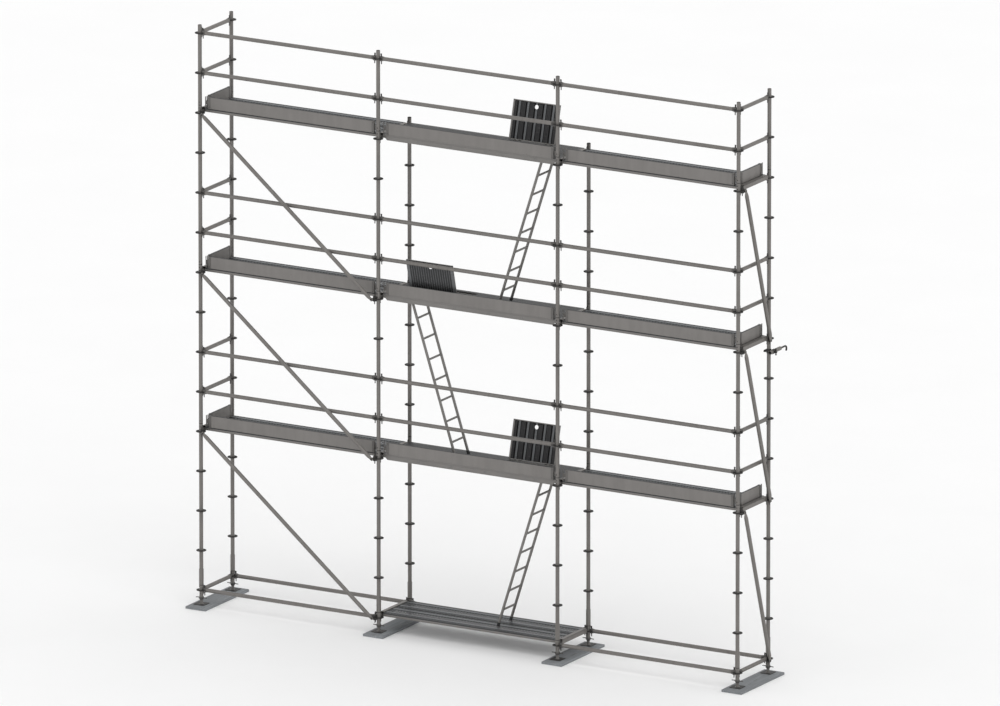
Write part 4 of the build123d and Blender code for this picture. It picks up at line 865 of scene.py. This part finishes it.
# ---- toe boards
TOE_H, TOE_T, TOE_FACE, TOE_START = 0.150, 0.025, 0.045, 0.088
END_TOE_FACE, END_TOE_START = 0.037, 0.128
CAP_T, CAP_RIVET_IN, CAP_RIVET_Z = 0.0031, 0.015, (0.022, 0.128)


def toe_outline(face):
    """End view of a toe board: eased arrises, a rebate low on its face, a drip groove behind."""
    y0, y1, z0, z1 = face, face + TOE_T, DECK_TOP, DECK_TOP + TOE_H
    return [(y0 + 0.004, z0), (y1 - 0.002, z0), (y1, z0 + 0.002), (y1, z0 + 0.016), (y1 - 0.002, z0 + 0.017),
            (y1 - 0.002, z0 + 0.020), (y1, z0 + 0.021), (y1, z1 - 0.0025), (y1 - 0.0025, z1),
            (y0 + 0.0025, z1), (y0, z1 - 0.0025), (y0, z0 + 0.0065), (y0 + 0.004, z0 + 0.0045)]


def toe_shape(face, start, length):
    """A toe board with its top edge in another paint."""
    return tinted(prism_x(toe_outline(face), start, length - start), lambda c, n: n.z > 0.6, 1)


def toe_rivets(face, start, length):
    """Rivet heads on the end caps of a toe board."""
    return copies(dome(0.0042, 0.0016), [
        turned("X", 90, (x, face - CAP_T, DECK_TOP + z)) for z in CAP_RIVET_Z
        for x in (start + CAP_RIVET_IN, length - start - CAP_RIVET_IN)])


toe_places = [at(x, FRONT, z) for z in LEVELS[1:] for x in X[:-1]]
end_places = [at(LEFT, BACK, z, -90) for z in LEVELS[1:]] + [at(RIGHT, FRONT, z, 90) for z in LEVELS[1:]]
front_run, end_run = (TOE_FACE, TOE_START, BAY), (END_TOE_FACE, END_TOE_START, WIDTH)
piece("front_toe_boards", copies(toe_shape(*front_run), toe_places), [toe_paint, toe_edge],
      replaces=("toe_boards",), sharp=20)
piece("end_toe_board_set", copies(toe_shape(*end_run), end_places), [toe_paint, toe_edge],
      replaces=("end_toe_boards",), sharp=20)
piece("toe_board_rivets", joined([copies(toe_rivets(*front_run), toe_places),
                                  copies(toe_rivets(*end_run), end_places)]), [forged])

# ---- braces
PIVOT, BRACE_OUT, BRACE_DROP = 0.064, 0.066, 0.005


def brace_shape(span):
    """A tube pressed flat at both ends, from its upper pivot at the origin."""
    between = math.hypot(span - 2 * PIVOT, LIFT)
    ends = ((-0.018, 0.0045, 0.0150, 3.0), (-0.016, 0.0058, 0.0172, 4.0), (0.016, 0.0058, 0.0180, 5.0),
            (0.026, 0.0070, 0.0195, 4.0), (0.046, 0.0150, 0.0235, 2.6), (0.078, TUBE_R, TUBE_R, 2.0))
    stations = list(ends) + [(between - x, *size) for x, *size in reversed(ends)]
    tube = lofted([(x, half_y, -half_z, half_z, power) for x, half_y, half_z, power in stations])
    tilt = math.degrees(math.atan2(LIFT, span - 2 * PIVOT))
    return moved(tube, turned("Y", tilt, (PIVOT, -BRACE_OUT, -BRACE_DROP)))


piece("bay_brace_tubes", copies(brace_shape(BAY), [at(LEFT, FRONT, z) for z in LEVELS[1:]]), [tube_zinc],
      replaces=("bay_braces",), sharp=60)
piece("end_brace_tubes", copies(brace_shape(WIDTH), [at(RIGHT, FRONT, z, 90) for z in LEVELS[1:]]), [tube_zinc],
      replaces=("end_braces",), sharp=60)

# ---- feet: sole boards, screw jacks, wing nuts
SOLE_T, SOLE_X, SOLE_Y = 0.030, (-0.115, 0.164), (FRONT - 0.187, BACK + 0.113)
SEAMS, SEAM_HALF, SEAM_DEPTH = (0.010, 0.020), 0.0007, 0.0016
PLATE, PLATE_LOW, PLATE_TOP, NAIL_AT = 0.150, 0.030, 0.036, 0.058
BOSS_TOP = 0.0395
SPINDLE_R, SPINDLE_TOP, THREAD, THREAD_DEPTH = 0.019, 0.533, 0.008, 0.0019
NUT_LOW, NUT_TOP, NUT_R, HANDLE_REACH = 0.0877, 0.1227, 0.030, 0.078


def sole_shape(x):
    """A board of three glued layers, with the seams open a little at its edges."""
    side = [(0.002, 0.0), (0.0, 0.002)]     # in from a long side and up, from the bottom
    for z in SEAMS:
        side += [(0.0, z - SEAM_HALF), (SEAM_DEPTH, z), (0.0, z + SEAM_HALF)]
    side += [(0.0, SOLE_T - 0.003), (0.003, SOLE_T)]
    outline = [(x + SOLE_X[1] - inset, z) for inset, z in side]
    outline += [(x + SOLE_X[0] + inset, z) for inset, z in reversed(side)]
    return prism_y(outline, *SOLE_Y)


def spindle(low, high):
    """A threaded bar: the radius follows a rolled trapezoid round a helix."""
    steps, rings = 20, 6                    # points round, and rings to a turn of the thread
    count = int((high - low) / THREAD * rings)
    sections = []
    for j in range(count + 1):
        z = low + (high - low) * j / count
        loop = []
        for i in range(steps):
            phase = (z / THREAD - i / steps) % 1.0
            wave = min(1.0, max(0.0, 2.6 * abs(2 * phase - 1) - 0.8))
            fade = min(1.0, min(z - low, high - z) / THREAD)
            r = SPINDLE_R - THREAD_DEPTH * (1 - wave) * fade
            a = 2 * math.pi * i / steps
            loop.append((r * math.cos(a), r * math.sin(a), z))
        sections.append(loop)
    return skin(sections)


def jack_shape():
    """A base plate with nail holes and a welded, threaded spindle."""
    half = PLATE / 2
    nails = [moved(rod(0.0048, 0.0, 0.1, 12), at(sx * NAIL_AT, sy * NAIL_AT, 0))
             for sx in (-1, 1) for sy in (-1, 1)]
    plate = carved(bar((-half, half), (-half, half), (PLATE_LOW, PLATE_TOP), edge=0.0010, corner=0.012), nails)
    boss = lathe([(0.0300, PLATE_TOP - 0.001), (0.0290, 0.0373), (0.0230, 0.0390), (0.0200, BOSS_TOP),
                  (0.0150, BOSS_TOP), (0.0150, PLATE_TOP - 0.001)], 32)
    bead = finished(weld_bead(0.0198, BOSS_TOP - 0.0005, size=0.0018), 1)
    return joined([finished(plate, 2), boss, bead, spindle(PLATE_TOP + 0.0005, SPINDLE_TOP)])


def wing_nut_shape():
    """A cast nut, coned below, with two drooping handles."""
    body = lathe([(0.0245, NUT_LOW), (0.0255, 0.092), (0.0285, 0.101), (NUT_R, 0.106), (NUT_R, NUT_TOP - 0.004),
                  (NUT_R - 0.0010, NUT_TOP - 0.0012), (0.0275, NUT_TOP), (0.0191, NUT_TOP), (0.0191, NUT_LOW)],
                 36)
    stations = ((0.020, 0.0100, 0.1045, 0.1165, 3), (0.032, 0.0086, 0.1050, 0.1167, 3),
                (0.050, 0.0062, 0.1058, 0.1160, 2.4), (0.064, 0.0060, 0.1052, 0.1150, 2.4),
                (0.073, 0.0072, 0.1046, 0.1152, 2.4), (0.0772, 0.0055, 0.1060, 0.1138, 2.2),
                (HANDLE_REACH, 0.0020, 0.1085, 0.1115, 2))
    arm = lofted(stations, 16)
    return joined([body, arm, moved(arm, at(0, 0, 0, 180))])


jack, wing_nut = jack_shape(), wing_nut_shape()
for i, x in enumerate(X, start=1):
    piece(f"sole_board_timber_{i}", sole_shape(x), [sole_wood], body=f"foot_{i}",
          replaces=(f"sole_board_{i}",), sharp=25)
    piece(f"screw_jacks_{i}", copies(jack, [at(x, y, 0) for y in (FRONT, BACK)]),
          [jack_zinc, weld_metal, forged], body=f"foot_{i}", replaces=(f"base_jacks_{i}",))
for i, (x, y) in enumerate(GRID, start=1):
    piece(f"cast_wing_nut_{i}", moved(wing_nut, at(x, y, 0)), [cast_head], body=f"nut_{i}",
          replaces=(f"wing_nut_{i}",))

# ---- wall tie
TIE_X, TIE_Z, TIE_END, HOOK_R, ROD_R, EAR_MID = 0.058, LEVELS[2] - 0.158, BACK + 0.170, 0.036, 0.011, 0.0403


def hook_shape():
    """The end plate of the tie, and a bar welded to it and bent to a hook."""
    plate = moved(rod(TUBE_R, 0, 0.005, 32), turned("X", -90, (0, TIE_END, 0)))
    bend_y, bend, steps, sections = BACK + 0.293, math.radians(135), 22, []
    path = [(TIE_END + 0.002, 0.0, 0.0), (TIE_END + 0.010, 0.0, 0.0), (bend_y, 0.0, 0.0)]
    for i in range(1, steps + 1):
        a = bend * i / steps
        path.append((bend_y + HOOK_R * math.sin(a), -HOOK_R * (1 - math.cos(a)), a))
    last = len(path) - 1
    for k, (y, z, a) in enumerate(path):
        r = ROD_R * (0.80 if k == last else 1.0)
        sections.append([(u, y + v * math.sin(a), z + v * math.cos(a)) for u, v in circle(r, 20)])
    bead = moved(weld_bead(ROD_R, 0, size=0.003, steps=24), turned("X", 90, (0, TIE_END + 0.0065, 0)))
    return moved(joined([plate, skin([s[::-1] for s in sections]), finished(bead, 1)]),
                 at(RIGHT + TIE_X, 0, TIE_Z))


def bolt_shape(half):
    """A hexagon bolt with a nut and a domed tip, through an ear at the origin."""
    shank = rod(0.007, -half, half - 0.004, 20, 0.0015)
    head = ((0.0112, half - 0.006), (0.0122, half - 0.005), (0.0122, half - 0.0012), (0.0108, half))
    nut = ((0.0108, 0.008 - half), (0.0122, 0.0092 - half), (0.0122, 0.0135 - half), (0.0108, 0.0147 - half))
    return joined([shank, stacked(head, 6), stacked(nut, 6)])


piece("wall_tie_hook", hook_shape(), [forged, weld_metal], replaces=("tie_hook",))
bolt_places = [turned("X", 90, (RIGHT - EAR_MID, BACK, TIE_Z)), at(RIGHT + TIE_X + EAR_MID, BACK, TIE_Z)]
piece("coupler_bolts", copies(bolt_shape(0.0433), bolt_places), [forged],
      replaces=("tie_coupler_bolts",))

# ---- floor, light and camera
FLOOR_HALF = 160.0
floor_mesh = bpy.data.meshes.new("floor")
corners = [(sx * FLOOR_HALF, sy * FLOOR_HALF, 0) for sx, sy in ((-1, -1), (1, -1), (1, 1), (-1, 1))]
floor_mesh.from_pydata(corners, [], [(0, 1, 2, 3)])
floor = bpy.data.objects.new("floor", floor_mesh)
bpy.context.scene.collection.objects.link(floor)
paper = Nodes("pale_floor")
floor_mesh.materials.append(paper.finish(
    Base_Color=paper.mix(paper.noise(0.6, detail=3), (0.90, 0.90, 0.90, 1), (0.93, 0.93, 0.93, 1)),
    Roughness=0.9))

world = bpy.data.worlds.new("studio")
world.use_nodes = True
sky = world.node_tree.nodes["Background"].inputs
sky["Color"].default_value, sky["Strength"].default_value = (1.0, 1.0, 1.0, 1.0), 0.98
bpy.context.scene.world = world

key = bpy.data.lights.new("key", "SUN")
key.energy, key.angle = 0.45, math.radians(50)
key_object = bpy.data.objects.new("key", key)
key_object.rotation_euler = (math.radians(48), 0, math.radians(52))
bpy.context.scene.collection.objects.link(key_object)

# the photograph is a parallel view, so the lens is very long; its width spans 12.092 m
VIEW_TURN, VIEW_RISE = math.radians(30), math.radians(15)
LENS, SENSOR, VIEW_WIDTH = 1000.0, 36.0, 12.092
AIM_RIGHT, AIM_UP = 3.6356, 2.8826      # view centre from the first base rosette, in the picture plane
right = Vector((math.cos(VIEW_TURN), math.sin(VIEW_TURN), 0))
forward = Vector((-math.sin(VIEW_TURN) * math.cos(VIEW_RISE), math.cos(VIEW_TURN) * math.cos(VIEW_RISE),
                  -math.sin(VIEW_RISE)))
up = right.cross(forward)
aim = Vector((LEFT, FRONT, LEVELS[0])) + right * AIM_RIGHT + up * AIM_UP
centre = (Vector(cad_box[0]) + Vector(cad_box[1])) / 2
aim += forward * (centre - aim).dot(forward)
lens = bpy.data.cameras.new("camera")
lens.lens, lens.sensor_width = LENS, SENSOR
distance = VIEW_WIDTH * LENS / SENSOR
lens.clip_start, lens.clip_end = distance / 4, distance * 4
camera = bpy.data.objects.new("camera", lens)
camera.location = aim - forward * distance
camera.rotation_mode = "QUATERNION"
camera.rotation_quaternion = forward.to_track_quat("-Z", "Y")
bpy.context.scene.collection.objects.link(camera)
bpy.context.scene.camera = camera
bpy.context.scene.view_settings.view_transform = "Standard"
